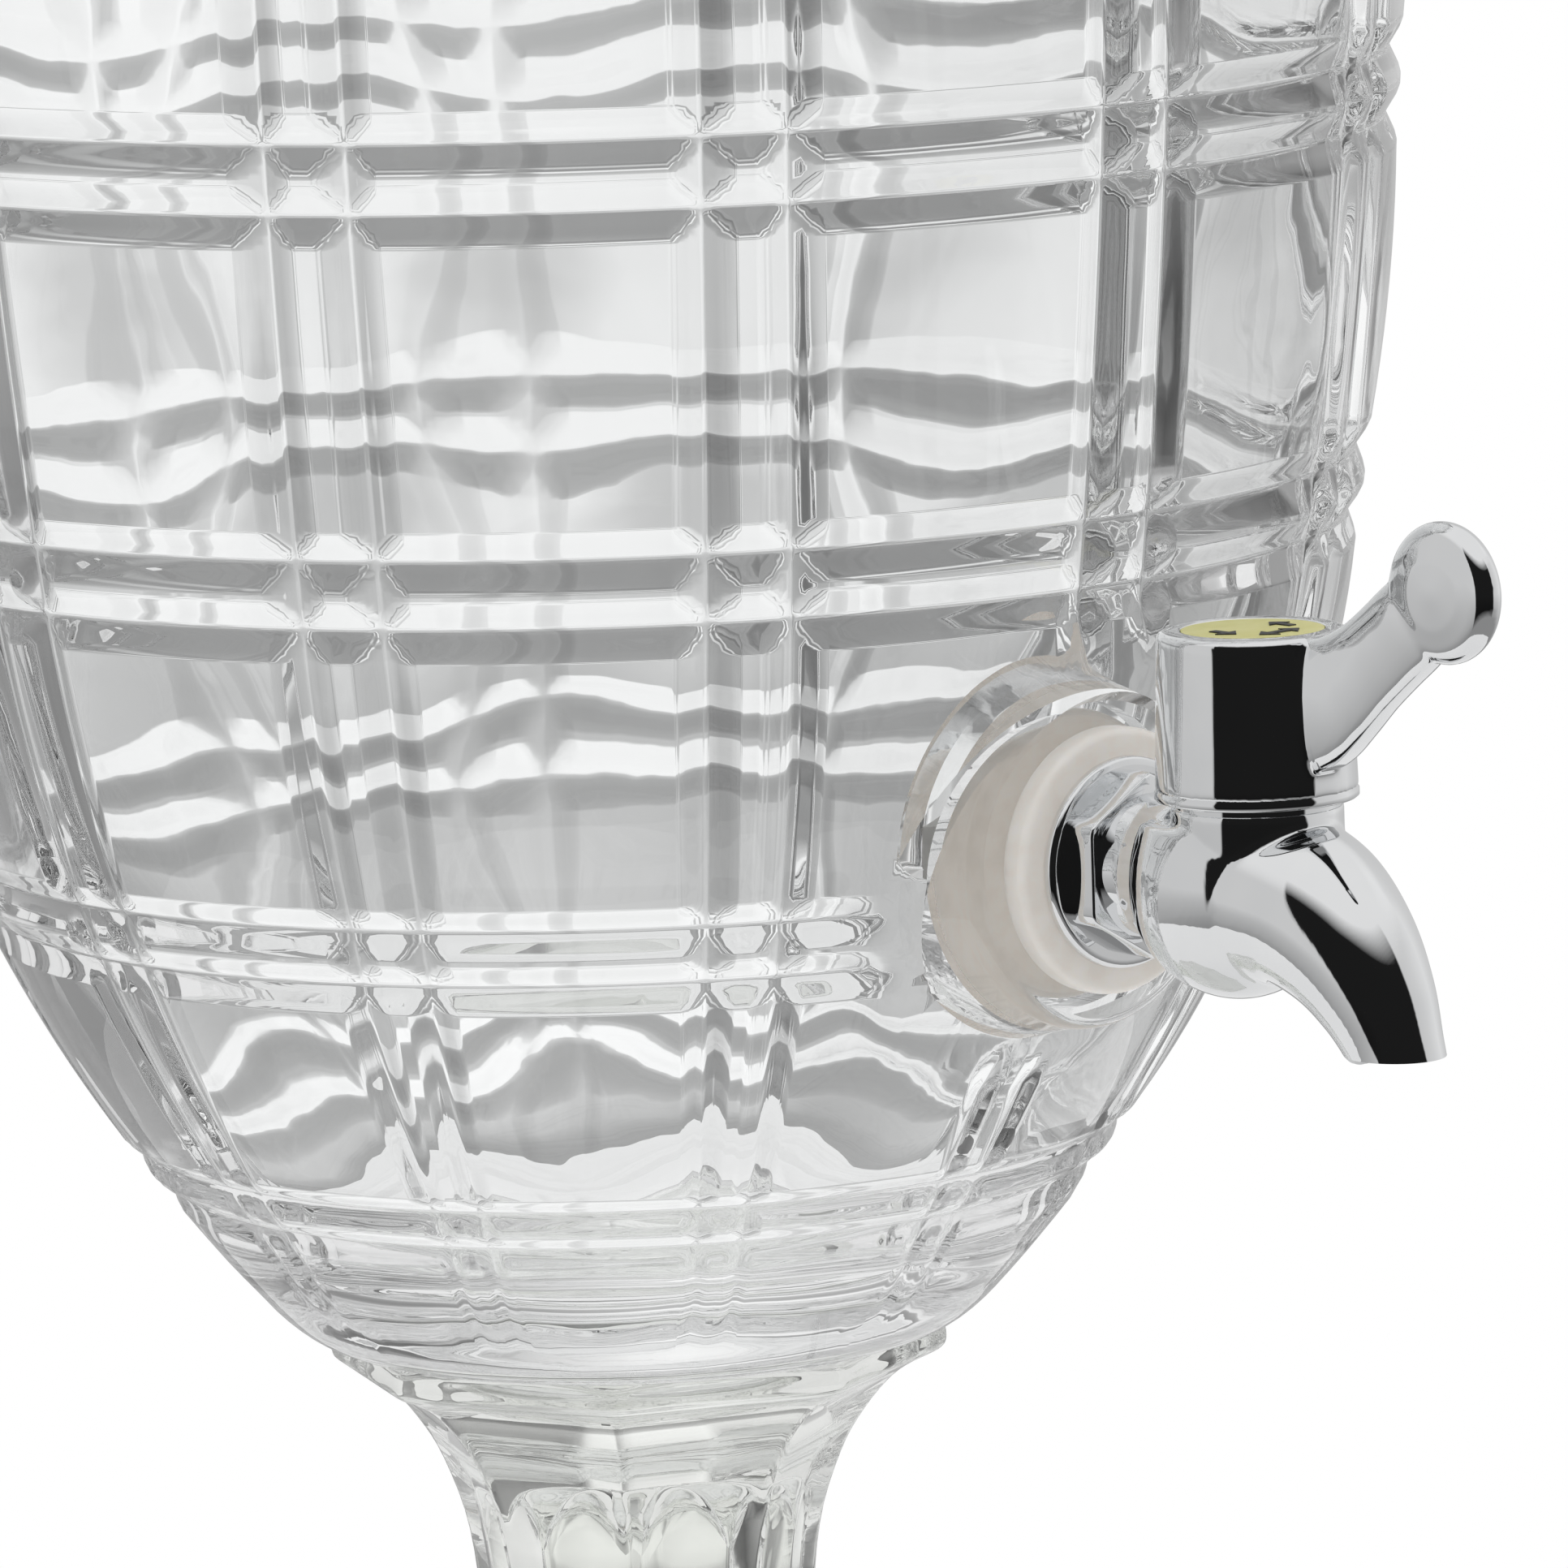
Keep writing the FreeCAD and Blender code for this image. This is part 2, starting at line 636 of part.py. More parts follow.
def stand():
    """Eight-sided pedestal with a cup for the vessel's base, hollow from below."""
    foot = eight_sided([(0.0, foot_corner - foot_bevel), (foot_bevel, foot_corner),
                        (foot_edge_z, foot_corner)], True)
    flare = eight_sided(flare_outline, False)
    flange = eight_sided([(flange_low_z, flare_outline[-1][1]),
                          (flange_low_z + flange_bevel, flange_corner),
                          (ledge_z - flange_bevel, flange_corner),
                          (ledge_z, flange_corner - flange_bevel)], True)
    body = foot.fuse([flare, flange])
    hollow = eight_sided(hollow_outline, False)
    last_height, last_radius = hollow_outline[-1]
    dome = eight_sided([(last_height, last_radius), (hollow_dome_z, hollow_dome_share * last_radius)], True)
    cup = Part.makeCylinder(plug_radius + cup_clearance, cup_depth, Vec(0, 0, ledge_z - cup_depth), UP)
    return body.cut([hollow, dome, cup]).removeSplitter()


washer_front = boss_face + outer_washer_thickness
nut_face = seat_face - inner_washer_thickness
disc_top = cap_top - disc_recess + disc_thickness

save("stand", stand())
save("vessel", vessel())
save("lid", lid())
save("outer_washer", ring(outer_washer_radius, boss_face, washer_front, outer_washer_round))
save("inner_washer", ring(inner_washer_radius, nut_face, seat_face, inner_washer_round))
save("lock_nut", lock_nut())
save("tap_body", tap_body())
save("valve_plug", valve_plug())
save("lower_o_ring", o_ring(o_ring_heights[0]))
save("upper_o_ring", o_ring(o_ring_heights[1]))
save("handle_cap", handle_cap())
save("screw_washer", screw_washer())
save("handle_screw", handle_screw())
save("indicator_disc", upright(disc_radius, cap_top - disc_recess, disc_top))
save("indicator_arrows", Part.makeCompound([arrow(90.0, arrow_length, False),
                                            arrow(-90.0, arrow_length, False),
                                            arrow(0.0, double_arrow_length, True)]))
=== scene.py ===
import math

import bmesh
import bpy
from mathutils import Matrix, Vector, noise


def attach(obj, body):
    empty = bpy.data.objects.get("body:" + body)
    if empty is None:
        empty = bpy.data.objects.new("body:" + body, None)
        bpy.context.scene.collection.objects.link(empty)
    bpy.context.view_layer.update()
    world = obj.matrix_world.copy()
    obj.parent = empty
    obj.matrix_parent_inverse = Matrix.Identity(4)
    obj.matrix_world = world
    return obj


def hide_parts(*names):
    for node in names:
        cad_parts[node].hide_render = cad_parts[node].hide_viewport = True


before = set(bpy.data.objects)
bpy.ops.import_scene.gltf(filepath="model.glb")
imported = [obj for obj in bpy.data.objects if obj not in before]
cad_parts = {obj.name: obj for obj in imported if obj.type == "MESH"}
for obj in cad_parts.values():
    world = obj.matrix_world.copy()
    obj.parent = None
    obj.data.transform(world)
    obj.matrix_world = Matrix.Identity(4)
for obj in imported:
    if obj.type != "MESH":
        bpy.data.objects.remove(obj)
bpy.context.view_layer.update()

MM = 0.001

# ---- the vessel's side: two tangent arcs, as in the CAD, in millimetres ----
MAX_RADIUS = 110.5
WIDEST_Z = 339.5
UPPER_ARC = 727.4
LOWER_ARC = 196.8
ARC_JOIN = math.radians(8.87)
WALL = 6.0
LEDGE_Z = 116.3
LEDGE_EDGE_RADIUS = 40.0
SIDE_START_Z = 122.0          # the side is rounded from here down to the ledge
PLUG_RADIUS = 35.5
PLUG_EDGE_ROUND = 2.5
PLUG_Z = 112.1
END_RING_RADIUS = 8.0                        # of the small rings that the mesh starts and ends with
FLOOR_Z = 131.0
FLOOR_ROUND = 7.0                            # height over which the inner wall rounds into the floor
FLOOR_FLAT = 0.62                            # share of the radius there at which the floor is level
SHOULDER_Z = 372.0
SHOULDER_RADIUS = 30.0
SHOULDER_TURN = math.radians(62.0)
NECK_FILLET = 8.0
RIM_Z = 414.0
RIM_ROUND = 1.8

# ---- cut pattern ----
ROW_HEIGHTS = (141.0, 181.0, 230.1, 283.5, 337.0)
COLUMNS = 12
COLUMN_CUT = (5.6, 4.6)                      # half the gap between a pair's bottoms, half width of one groove
ROW_CUT = (4.5, 4.3)
DEPTH = 2.3
FULL_CUT_RADIUS = 100.0                      # the cut is narrower where the vessel is narrower than this
# where a groove has mesh lines, from its bottom outwards, as shares of its half width
BAND_STEPS = (0.0, 0.1, 0.36, 0.64, 0.9, 1.0)
WINDOW_STEPS = 9
LOWEST_STEPS = 6                             # mesh rows between the lower corner and the first row of grooves
SHOULDER_STEPS = 12                          # and between the last row of grooves and the shoulder
INNER_STEPS = 60
INNER_WAVE = 0.34                            # how far the pressed inner wall wanders, in and out
COLUMN_TOP_Z = 369.0
BACK_ROUNDING = 0.75                         # how soft the cut is on the side away from the tap
BACK_SHALLOWER = 0.4                         # and how much of its depth is lost there
CROWN = 0.5                                  # how far a window's edges sit below its middle
CRISP_ABOVE_Z = 262.0
SOFT_BELOW_Z = 175.0
SMOOTH_PATCH = (28.5, 33.5)                  # distances from the tap between which the cut fades in

# ---- tap seat ----
TAP_Z = 190.2
BOSS_FACE = 96.0
BOSS_ROUND = 2.0
BOSS_RADIUS = 22.4
SEAT_FACE = 86.0
SEAT_RADIUS = 20.0
HOLE_RADIUS = 8.3

upper_centre = (MAX_RADIUS - UPPER_ARC, WIDEST_Z)
join_point = (upper_centre[0] + UPPER_ARC * math.cos(ARC_JOIN),
              upper_centre[1] - UPPER_ARC * math.sin(ARC_JOIN))
lower_centre = (join_point[0] - LOWER_ARC * math.cos(ARC_JOIN),
                join_point[1] + LOWER_ARC * math.sin(ARC_JOIN))


def side_at(length, inset=0.0):
    """Radius and height of the side at a length along it from the arcs' join, moved inwards by inset."""
    centre, radius = (upper_centre, UPPER_ARC) if length >= 0.0 else (lower_centre, LOWER_ARC)
    angle = length / radius - ARC_JOIN
    return (centre[0] + (radius - inset) * math.cos(angle), centre[1] + (radius - inset) * math.sin(angle))


def length_at(height, inset=0.0):
    """The length along the side at which its face, moved inwards by inset, has this height."""
    centre, radius = (upper_centre, UPPER_ARC) if height >= join_point[1] else (lower_centre, LOWER_ARC)
    return (math.asin((height - centre[1]) / (radius - inset)) + ARC_JOIN) * radius


def smooth_step(low, high, value):
    """0 below low, 1 above high, smooth between."""
    share = min(1.0, max(0.0, (value - low) / (high - low)))
    return share * share * (3.0 - 2.0 * share)


def soft_max(a, b, blend):
    """The larger of two values, with the corner between them rounded over blend."""
    share = max(0.0, min(1.0, 0.5 + 0.5 * (a - b) / blend))
    return b + (a - b) * share + blend * share * (1.0 - share)


def narrowing(radius):
    """How much narrower the cut is where the vessel is narrower."""
    return min(1.0, (radius / FULL_CUT_RADIUS) ** 1.4)


def rounding(height):
    """How far the cut's edges are rounded: crisp above, fire-polished below."""
    return 0.10 + 0.80 * smooth_step(CRISP_ABOVE_Z, SOFT_BELOW_Z, height)


def groove(across, cut, soft):
    """Depth, from 0 to 1, of a pair of V grooves at a distance across from the middle of the pair."""
    reach = abs(abs(across) - cut[0]) / cut[1]
    round_bottom = math.sqrt(reach * reach + soft * soft * 0.06) - soft * 0.1
    return soft_max(1.0 - round_bottom, 0.0, 0.02 + 0.35 * soft)


def band_offsets(cut):
    """Places across one band at which the mesh has a line, from its left edge to its right."""
    half = []
    for way in (-1, 1):
        half += [cut[0] + way * step * cut[1] for step in BAND_STEPS]
    half = sorted({round(value, 4) for value in half})
    return [-value for value in reversed(half)] + half


COLUMN_OFFSETS = band_offsets(COLUMN_CUT)
ROW_OFFSETS = band_offsets(ROW_CUT)


def column_angles(radius):
    """For each mesh column: its angle, its distance across its band, and how far it is into its window."""
    narrow = narrowing(radius)
    period = 2.0 * math.pi / COLUMNS
    half_band = COLUMN_OFFSETS[-1] * narrow / max(radius, 1.0)
    made = []
    for column in range(COLUMNS):
        centre = column * period
        for offset in COLUMN_OFFSETS:
            made.append((centre + offset * narrow / max(radius, 1.0), offset, 0.0))
        for step in range(1, WINDOW_STEPS + 1):
            share = step / (WINDOW_STEPS + 1.0)
            angle = centre + half_band + share * (period - 2.0 * half_band)
            made.append((angle, None, share))
    return made


def side_rows():
    """Mesh rows up the side: (length, distance across its band or None, share of window, scale of cut)."""
    centres = [length_at(z) for z in ROW_HEIGHTS]
    narrow = [0.5 + 0.5 * narrowing(side_at(c)[0]) for c in centres]
    start, end = length_at(SIDE_START_Z), length_at(SHOULDER_Z)
    first_edge = centres[0] + ROW_OFFSETS[0] * narrow[0]
    rows = []
    for step in range(LOWEST_STEPS):
        rows.append((start + (first_edge - start) * step / LOWEST_STEPS, None, 0.5, narrow[0]))
    here = None
    for centre, scale in zip(centres, narrow):
        edge = centre + ROW_OFFSETS[0] * scale
        if here is not None:
            for step in range(1, WINDOW_STEPS + 1):
                share = step / (WINDOW_STEPS + 1.0)
                rows.append((here + (edge - here) * share, None, share, scale))
        rows += [(centre + offset * scale, offset, 0.0, scale) for offset in ROW_OFFSETS]
        here = centre + ROW_OFFSETS[-1] * scale
    for step in range(1, SHOULDER_STEPS + 1):
        share = step / SHOULDER_STEPS
        rows.append((here + (end - here) * share, None, min(0.5, share), 1.0))
    return rows


def boss_fade(x, y, z):
    """0 on the smooth glass round the tap, 1 clear of it."""
    if y > 0.0:
        return 1.0
    return smooth_step(*SMOOTH_PATCH, math.hypot(x, z - TAP_Z))


def outer_ring(row):
    """Points round the vessel on one row of its cut side."""
    length, across, share_up, scale = row
    radius, height = side_at(length)
    deep = side_at(length, 1.0)
    inward = (radius - deep[0], height - deep[1])
    narrow = narrowing(radius)
    fade_up = smooth_step(COLUMN_TOP_Z + 2.0, COLUMN_TOP_Z - 6.0, height)
    fade_up *= smooth_step(SIDE_START_Z, SIDE_START_Z + 16.0, height)
    column_full = DEPTH * narrow * fade_up
    points = []
    for angle, offset, share_round in column_angles(radius):
        x, y = math.sin(angle), -math.cos(angle)
        soft = max(rounding(height), BACK_ROUNDING * smooth_step(10.0, 60.0, y * radius))
        row_depth = groove(across, ROW_CUT, soft) * DEPTH * scale if across is not None else 0.0
        column_depth = groove(offset, COLUMN_CUT, soft) * column_full if offset is not None else 0.0
        corner = 0.04 + 0.5 * soft
        depth = soft_max(row_depth, column_depth, corner)
        depth -= 0.25 * corner if row_depth == column_depth == 0.0 else 0.0
        if offset is None and across is None:
            edge = 1.0 - 16.0 * share_round * (1 - share_round) * share_up * (1 - share_up)
            depth += CROWN * max(0.0, edge) * fade_up
        elif fade_up > 0.0:
            depth = max(depth, CROWN * fade_up)
        depth *= 1.0 - BACK_SHALLOWER * smooth_step(10.0, 70.0, y * radius)
        depth *= boss_fade(x * radius, y * radius, height)
        reach = radius - inward[0] * depth
        points.append((x * reach, y * reach, height - inward[1] * depth))
    return points


def plain_ring(radius, height, even=0.0, wave=0.0):
    """Points round the vessel at one height: on the cut's mesh columns, or evenly spaced when even is 1."""
    columns = column_angles(max(radius, 60.0))
    points = []
    for number, (angle, offset, share) in enumerate(columns):
        level = 2.0 * math.pi * number / len(columns) + columns[0][0]
        angle += (level - angle) * even
        x, y = math.sin(angle), -math.cos(angle)
        reach = radius
        if wave:
            reach += wave * noise.noise(Vector((x * radius, y * radius, height * 1.2)) * 0.021)
            reach += 0.3 * wave * noise.noise(Vector((x * radius + 90.0, y * radius, height * 1.5)) * 0.043)
        points.append((x * reach, y * reach, height))
    return points


def neck_profile(inset):
    """Shoulder, fillet and neck, from the side's end up to the rim, as (radius, height) pairs."""
    tilt = length_at(SHOULDER_Z) / UPPER_ARC - ARC_JOIN
    foot = side_at(length_at(SHOULDER_Z), SHOULDER_RADIUS)
    pairs = []
    for step in range(1, 11):
        turn = tilt + (SHOULDER_TURN - tilt) * step / 10.0
        reach = SHOULDER_RADIUS - inset
        pairs.append((foot[0] + reach * math.cos(turn), foot[1] + reach * math.sin(turn)))
    reach = SHOULDER_RADIUS + NECK_FILLET
    centre = (foot[0] + reach * math.cos(SHOULDER_TURN), foot[1] + reach * math.sin(SHOULDER_TURN))
    for step in range(1, 7):
        turn = math.pi + SHOULDER_TURN * (1.0 - step / 6.0)
        reach = NECK_FILLET + inset
        pairs.append((centre[0] + reach * math.cos(turn), centre[1] + reach * math.sin(turn)))
    for share in (0.4, 0.8, 1.0):
        pairs.append((pairs[-1][0], centre[1] + (RIM_Z - centre[1]) * share))
    return pairs


def mesh_from_rings(name, rings):
    """A closed mesh through rings of equal length, with its two ends filled."""
    count = len(rings[0])
    verts = [(x * MM, y * MM, z * MM) for ring in rings for x, y, z in ring]
    faces = []
    for row in range(len(rings) - 1):
        for column in range(count):
            right = (column + 1) % count
            a, b = row * count + column, row * count + right
            c, d = a + count, b + count
            faces.append((a, b, d, c))
    faces.append(tuple(reversed(range(count))))
    last = (len(rings) - 1) * count
    faces.append(tuple(range(last, last + count)))
    mesh = bpy.data.meshes.new(name)
    mesh.from_pydata(verts, [], faces)
    mesh.validate()
    obj = bpy.data.objects.new(name, mesh)
    bpy.context.scene.collection.objects.link(obj)
    return obj


def split_along_creases(obj):
    """Cuts each four-sided face into triangles along its shorter diagonal."""
    bm = bmesh.new()
    bm.from_mesh(obj.data)
    bm.normal_update()
    quads = [f for f in bm.faces if len(f.verts) == 4]
    bmesh.ops.triangulate(bm, faces=quads, quad_method="SHORT_EDGE")
    bm.to_mesh(obj.data)
    bm.free()


def plain_disc(radius, low, high, inner=1.0):
    """The outline of a plain disc between two levels, as pairs to be turned about its axis."""
    return [(inner, low), (radius, low), (radius, high), (inner, high)]


def turned_about_tap(name, profile, steps):
    """A solid turned from (radius, distance) pairs about the tap's level axis."""
    rings = []
    for radius, distance in profile:
        ring = []
        for step in range(steps):
            turn = 2.0 * math.pi * step / steps
            ring.append((radius * math.cos(turn), -distance, TAP_Z + radius * math.sin(turn)))
        rings.append(ring)
    return mesh_from_rings(name, rings)


def arc_pairs(centre, radius, start, end, steps):
    """(radius, height) pairs along an arc, angles in degrees."""
    made = []
    for step in range(steps + 1):
        turn = math.radians(start + (end - start) * step / steps)
        made.append((centre[0] + radius * math.cos(turn), centre[1] + radius * math.sin(turn)))
    return made


def apply_boolean(target, tool, operation):
    """Joins or cuts target with tool, then removes tool."""
    step = target.modifiers.new(operation, "BOOLEAN")
    step.operation = operation
    step.solver = "MANIFOLD"
    step.object = tool
    graph = bpy.context.evaluated_depsgraph_get()
    fresh = bpy.data.meshes.new_from_object(target.evaluated_get(graph))
    target.modifiers.clear()
    old = target.data
    target.data = fresh
    bpy.data.meshes.remove(old)
    bpy.data.objects.remove(tool)


def make_vessel():
    """The cut-glass vessel as one closed wall with its boss, seat and tap hole."""
    rings = [plain_ring(END_RING_RADIUS, PLUG_Z)]
    for degrees in range(0, 91, 30):
        turn = math.radians(degrees)
        out = PLUG_RADIUS - PLUG_EDGE_ROUND + PLUG_EDGE_ROUND * math.sin(turn)
        rings.append(plain_ring(out, PLUG_Z + PLUG_EDGE_ROUND - PLUG_EDGE_ROUND * math.cos(turn)))
    rings += [plain_ring(PLUG_RADIUS + 0.4, LEDGE_Z - 0.2), plain_ring(PLUG_RADIUS + 1.2, LEDGE_Z)]
    near, above = side_at(length_at(SIDE_START_Z)), side_at(length_at(SIDE_START_Z) + 0.1)
    corner = near[0] - (near[1] - LEDGE_Z) * (above[0] - near[0]) / (above[1] - near[1])
    for step in range(8):
        share = step / 8.0
        rest = 1.0 - share
        out = rest ** 2 * LEDGE_EDGE_RADIUS + 2.0 * share * rest * corner + share ** 2 * near[0]
        rings.append(plain_ring(out, LEDGE_Z + share ** 2 * (near[1] - LEDGE_Z)))
    rings += [outer_ring(row) for row in side_rows()]
    neck = neck_profile(0.0)
    rings += [plain_ring(r, z) for r, z in neck]
    half_wall = 0.5 * WALL
    for degrees in range(30, 151, 30):
        turn = math.radians(degrees)
        reach = neck[-1][0] - half_wall + half_wall * math.cos(turn)
        rings.append(plain_ring(reach, RIM_Z + RIM_ROUND * math.sin(turn)))
    inner = list(reversed(neck_profile(WALL)))
    rings += [plain_ring(r, z, even=(k + 1.0) / len(inner)) for k, (r, z) in enumerate(inner)]
    top, low = length_at(SHOULDER_Z), length_at(FLOOR_Z + FLOOR_ROUND, WALL)
    for step in range(INNER_STEPS + 1):
        radius, height = side_at(top + (low - top) * step / INNER_STEPS, WALL)
        rings.append(plain_ring(radius, height, 1.0, INNER_WAVE * smooth_step(0.0, 6.0, step)))
    for step in range(1, 7):
        turn = step / 6.0 * 0.5 * math.pi
        reach = radius * (FLOOR_FLAT + (1.0 - FLOOR_FLAT) * math.cos(turn))
        rings.append(plain_ring(reach, height - (height - FLOOR_Z) * math.sin(turn), 1.0))
    rings.append(plain_ring(radius * 0.3, FLOOR_Z - 0.4, 1.0))
    rings.append(plain_ring(END_RING_RADIUS, FLOOR_Z - 0.6, 1.0))
    vessel = mesh_from_rings("vessel_glass", rings)
    split_along_creases(vessel)
    boss_profile = [(4.0, 83.0), (24.8, 83.0), (23.9, 86.0), (23.1, 89.5), (22.6, 92.0)]
    boss_profile += [(BOSS_RADIUS - BOSS_ROUND + r, BOSS_FACE - BOSS_ROUND + d)
                     for r, d in arc_pairs((0.0, 0.0), BOSS_ROUND, 0.0, 90.0, 6)]
    boss_profile.append((4.0, BOSS_FACE))
    apply_boolean(vessel, turned_about_tap("boss", boss_profile, 96), "UNION")
    flat = BOSS_RADIUS - BOSS_ROUND
    spot_face = [(4.0, BOSS_FACE), (flat, BOSS_FACE), (flat + 1.5, BOSS_FACE + 3.0), (4.0, BOSS_FACE + 3.0)]
    seat = plain_disc(SEAT_RADIUS, 60.0, SEAT_FACE, 4.0)
    hole = plain_disc(HOLE_RADIUS, 60.0, 120.0)
    for name, profile, steps in (("spot_face", spot_face, 96), ("seat", seat, 96), ("hole", hole, 64)):
        apply_boolean(vessel, turned_about_tap(name, profile, steps), "DIFFERENCE")
    return vessel


# ---- stand ----
STAND_SIDES = 8
CORNER_SHARPNESS = 90.0                      # higher keeps the eight corners crisper
# (height, distance of a corner from the axis), from the foot's edge up to the flange's rim
STAND_OUTLINE = ((0.3, 78.4), (1.2, 79.4), (4.0, 79.7), (6.6, 78.6), (8.6, 74.6), (13.0, 64.8),
                 (22.0, 48.0), (36.0, 34.0), (55.0, 26.0), (75.0, 23.3), (88.0, 24.2), (98.0, 27.4),
                 (104.0, 30.9), (108.6, 35.0), (110.9, 38.7), (112.1, 41.4), (113.1, 42.3), (114.6, 42.4),
                 (115.7, 42.0), (116.25, 40.8))
HOLLOW_OUTLINE = ((0.3, 73.0), (7.0, 63.0), (15.0, 47.5), (27.0, 31.5), (42.0, 22.0), (60.0, 17.3),
                  (80.0, 15.8), (95.0, 16.2))
# the hollow's rounded end: (rise above the outline's end, share of its size)
HOLLOW_END = ((1.6, 0.97), (2.9, 0.90), (3.8, 0.78), (4.4, 0.62), (4.8, 0.42), (5.0, 0.2))
HOLLOW_ARCH_DROP = 6.5                       # how much lower the hollow's corners end than its arches
CUP_RADIUS = 36.0
CUP_ROUND = 2.8
CUP_Z = 111.7


def through(outline, steps):
    """More pairs along a smooth curve through these."""
    made = []
    last = len(outline) - 1
    for number in range(last):
        before, first, second, after = (outline[min(max(number + k, 0), last)] for k in (-1, 0, 1, 2))
        for step in range(steps):
            t = step / steps
            made.append(tuple(0.5 * (2.0 * b + (c - a) * t + (2.0 * a - 5.0 * b + 4.0 * c - d) * t * t
                                     + (3.0 * b - a - 3.0 * c + d) * t ** 3)
                              for a, b, c, d in zip(before, first, second, after)))
    made.append(outline[last])
    return made


def eight_sided_reach(angle, corner, sharpness=CORNER_SHARPNESS):
    """Distance from the axis to a rounded octagon's edge at an angle, with a corner towards the tap."""
    half = math.pi / STAND_SIDES
    total = 0.0
    for side in range(STAND_SIDES):
        facing = math.cos(angle - half - 2.0 * half * side)
        if facing > 0.0:
            total += facing ** sharpness
    return corner * math.cos(half) / total ** (1.0 / sharpness)


def stand_angles():
    """Angles round the stand, closer together at its corners."""
    angles = []
    for side in range(STAND_SIDES):
        for share in (0.0, 0.03, 0.07, 0.13, 0.25, 0.38, 0.5, 0.62, 0.75, 0.87, 0.93, 0.97):
            angles.append(2.0 * math.pi * (side + share) / STAND_SIDES)
    return angles


def stand_ring(corner, height, round_share=0.0, rises=None):
    """A level ring round the stand, from octagonal (0) to round (1); rises lifts each of its points."""
    ring = []
    for number, angle in enumerate(stand_angles()):
        octagon = eight_sided_reach(angle, corner)
        reach = octagon + (corner - octagon) * round_share
        lift = rises[number] if rises else 0.0
        ring.append((reach * math.sin(angle), -reach * math.cos(angle), height + lift))
    return ring


def make_stand():
    """The pressed-glass stand: eight-sided flare and foot, round cup on top, arched hollow below."""
    rings = [stand_ring(r, z) for z, r in through(STAND_OUTLINE, 4)]
    rings += [stand_ring(CUP_RADIUS + 0.6, STAND_OUTLINE[-1][0], 1.0),
              stand_ring(CUP_RADIUS, STAND_OUTLINE[-1][0] - 0.6, 1.0)]
    for degrees in range(0, 91, 30):
        turn = math.radians(degrees)
        out = CUP_RADIUS - CUP_ROUND + CUP_ROUND * math.cos(turn)
        rings.append(stand_ring(out, CUP_Z + CUP_ROUND - CUP_ROUND * math.sin(turn), 1.0))
    rings.append(stand_ring(4.0, CUP_Z, 1.0))
    outer = mesh_from_rings("stand_glass", rings)
    arches = []
    for angle in stand_angles():
        share = (angle * STAND_SIDES / (2.0 * math.pi)) % 1.0
        arches.append(-HOLLOW_ARCH_DROP * (2.0 * share - 1.0) ** 2)
    hollow = []
    end_z, end_corner = HOLLOW_OUTLINE[-1]
    for z, r in [(-1.0, 74.0)] + through(HOLLOW_OUTLINE, 4):
        hollow.append(stand_ring(r, z, rises=[drop * smooth_step(50.0, end_z, z) for drop in arches]))
    for rise, share in HOLLOW_END:
        fade = [drop * share ** 2 for drop in arches]
        hollow.append(stand_ring(end_corner * share, end_z + rise, 1.0 - share, fade))
    apply_boolean(outer, mesh_from_rings("stand_hollow", hollow), "DIFFERENCE")
    return outer


# ---- lid ----
LID_REST = 415.8
LID_RADIUS = 91.5
LID_DOME_RADIUS = 84.0
LID_DOME_HEIGHT = 26.0
LID_EDGE = 4.0
LID_EDGE_ROUND = 1.9
LID_WALL = 5.0
LID_SKIRT = 82.6
LID_SKIRT_DEPTH = 7.0
LID_CUTS = 24
LID_CUT_DEPTH = 1.5
LID_CUT_HALF_WIDTH = 0.28                    # as a share of the spacing
LID_CUT_RADII = (33.0, 36.0, 81.0, 83.4)     # the cuts start, reach full depth, begin to fade, and end
LID_TOP_RADII = (83.4, 82.6, 81.0, 74.0, 66.0, 58.0, 50.0, 42.0, 36.0, 34.0, 33.0, 20.0, 6.0)
LID_COLUMNS = 240
KNOB_SHARPNESS = 140.0
# the knob's outline: (height, distance of a corner from the axis)
KNOB_OUTLINE = ((443.0, 12.6), (446.4, 10.2), (449.6, 9.0), (452.6, 10.4), (454.4, 14.4), (463.0, 17.3),
                (471.6, 14.4), (478.2, 7.6), (479.0, 6.2))


def lid_ring(radius, height, depth=0.0):
    """A ring round the lid, dipped by depth at each of its radial cuts."""
    ring = []
    for step in range(LID_COLUMNS):
        angle = 2.0 * math.pi * step / LID_COLUMNS
        phase = abs(((angle * LID_CUTS / (2.0 * math.pi)) + 0.5) % 1.0 - 0.5)
        dip = depth * max(0.0, 1.0 - phase / LID_CUT_HALF_WIDTH)
        ring.append((radius * math.sin(angle), -radius * math.cos(angle), height - dip))
    return ring


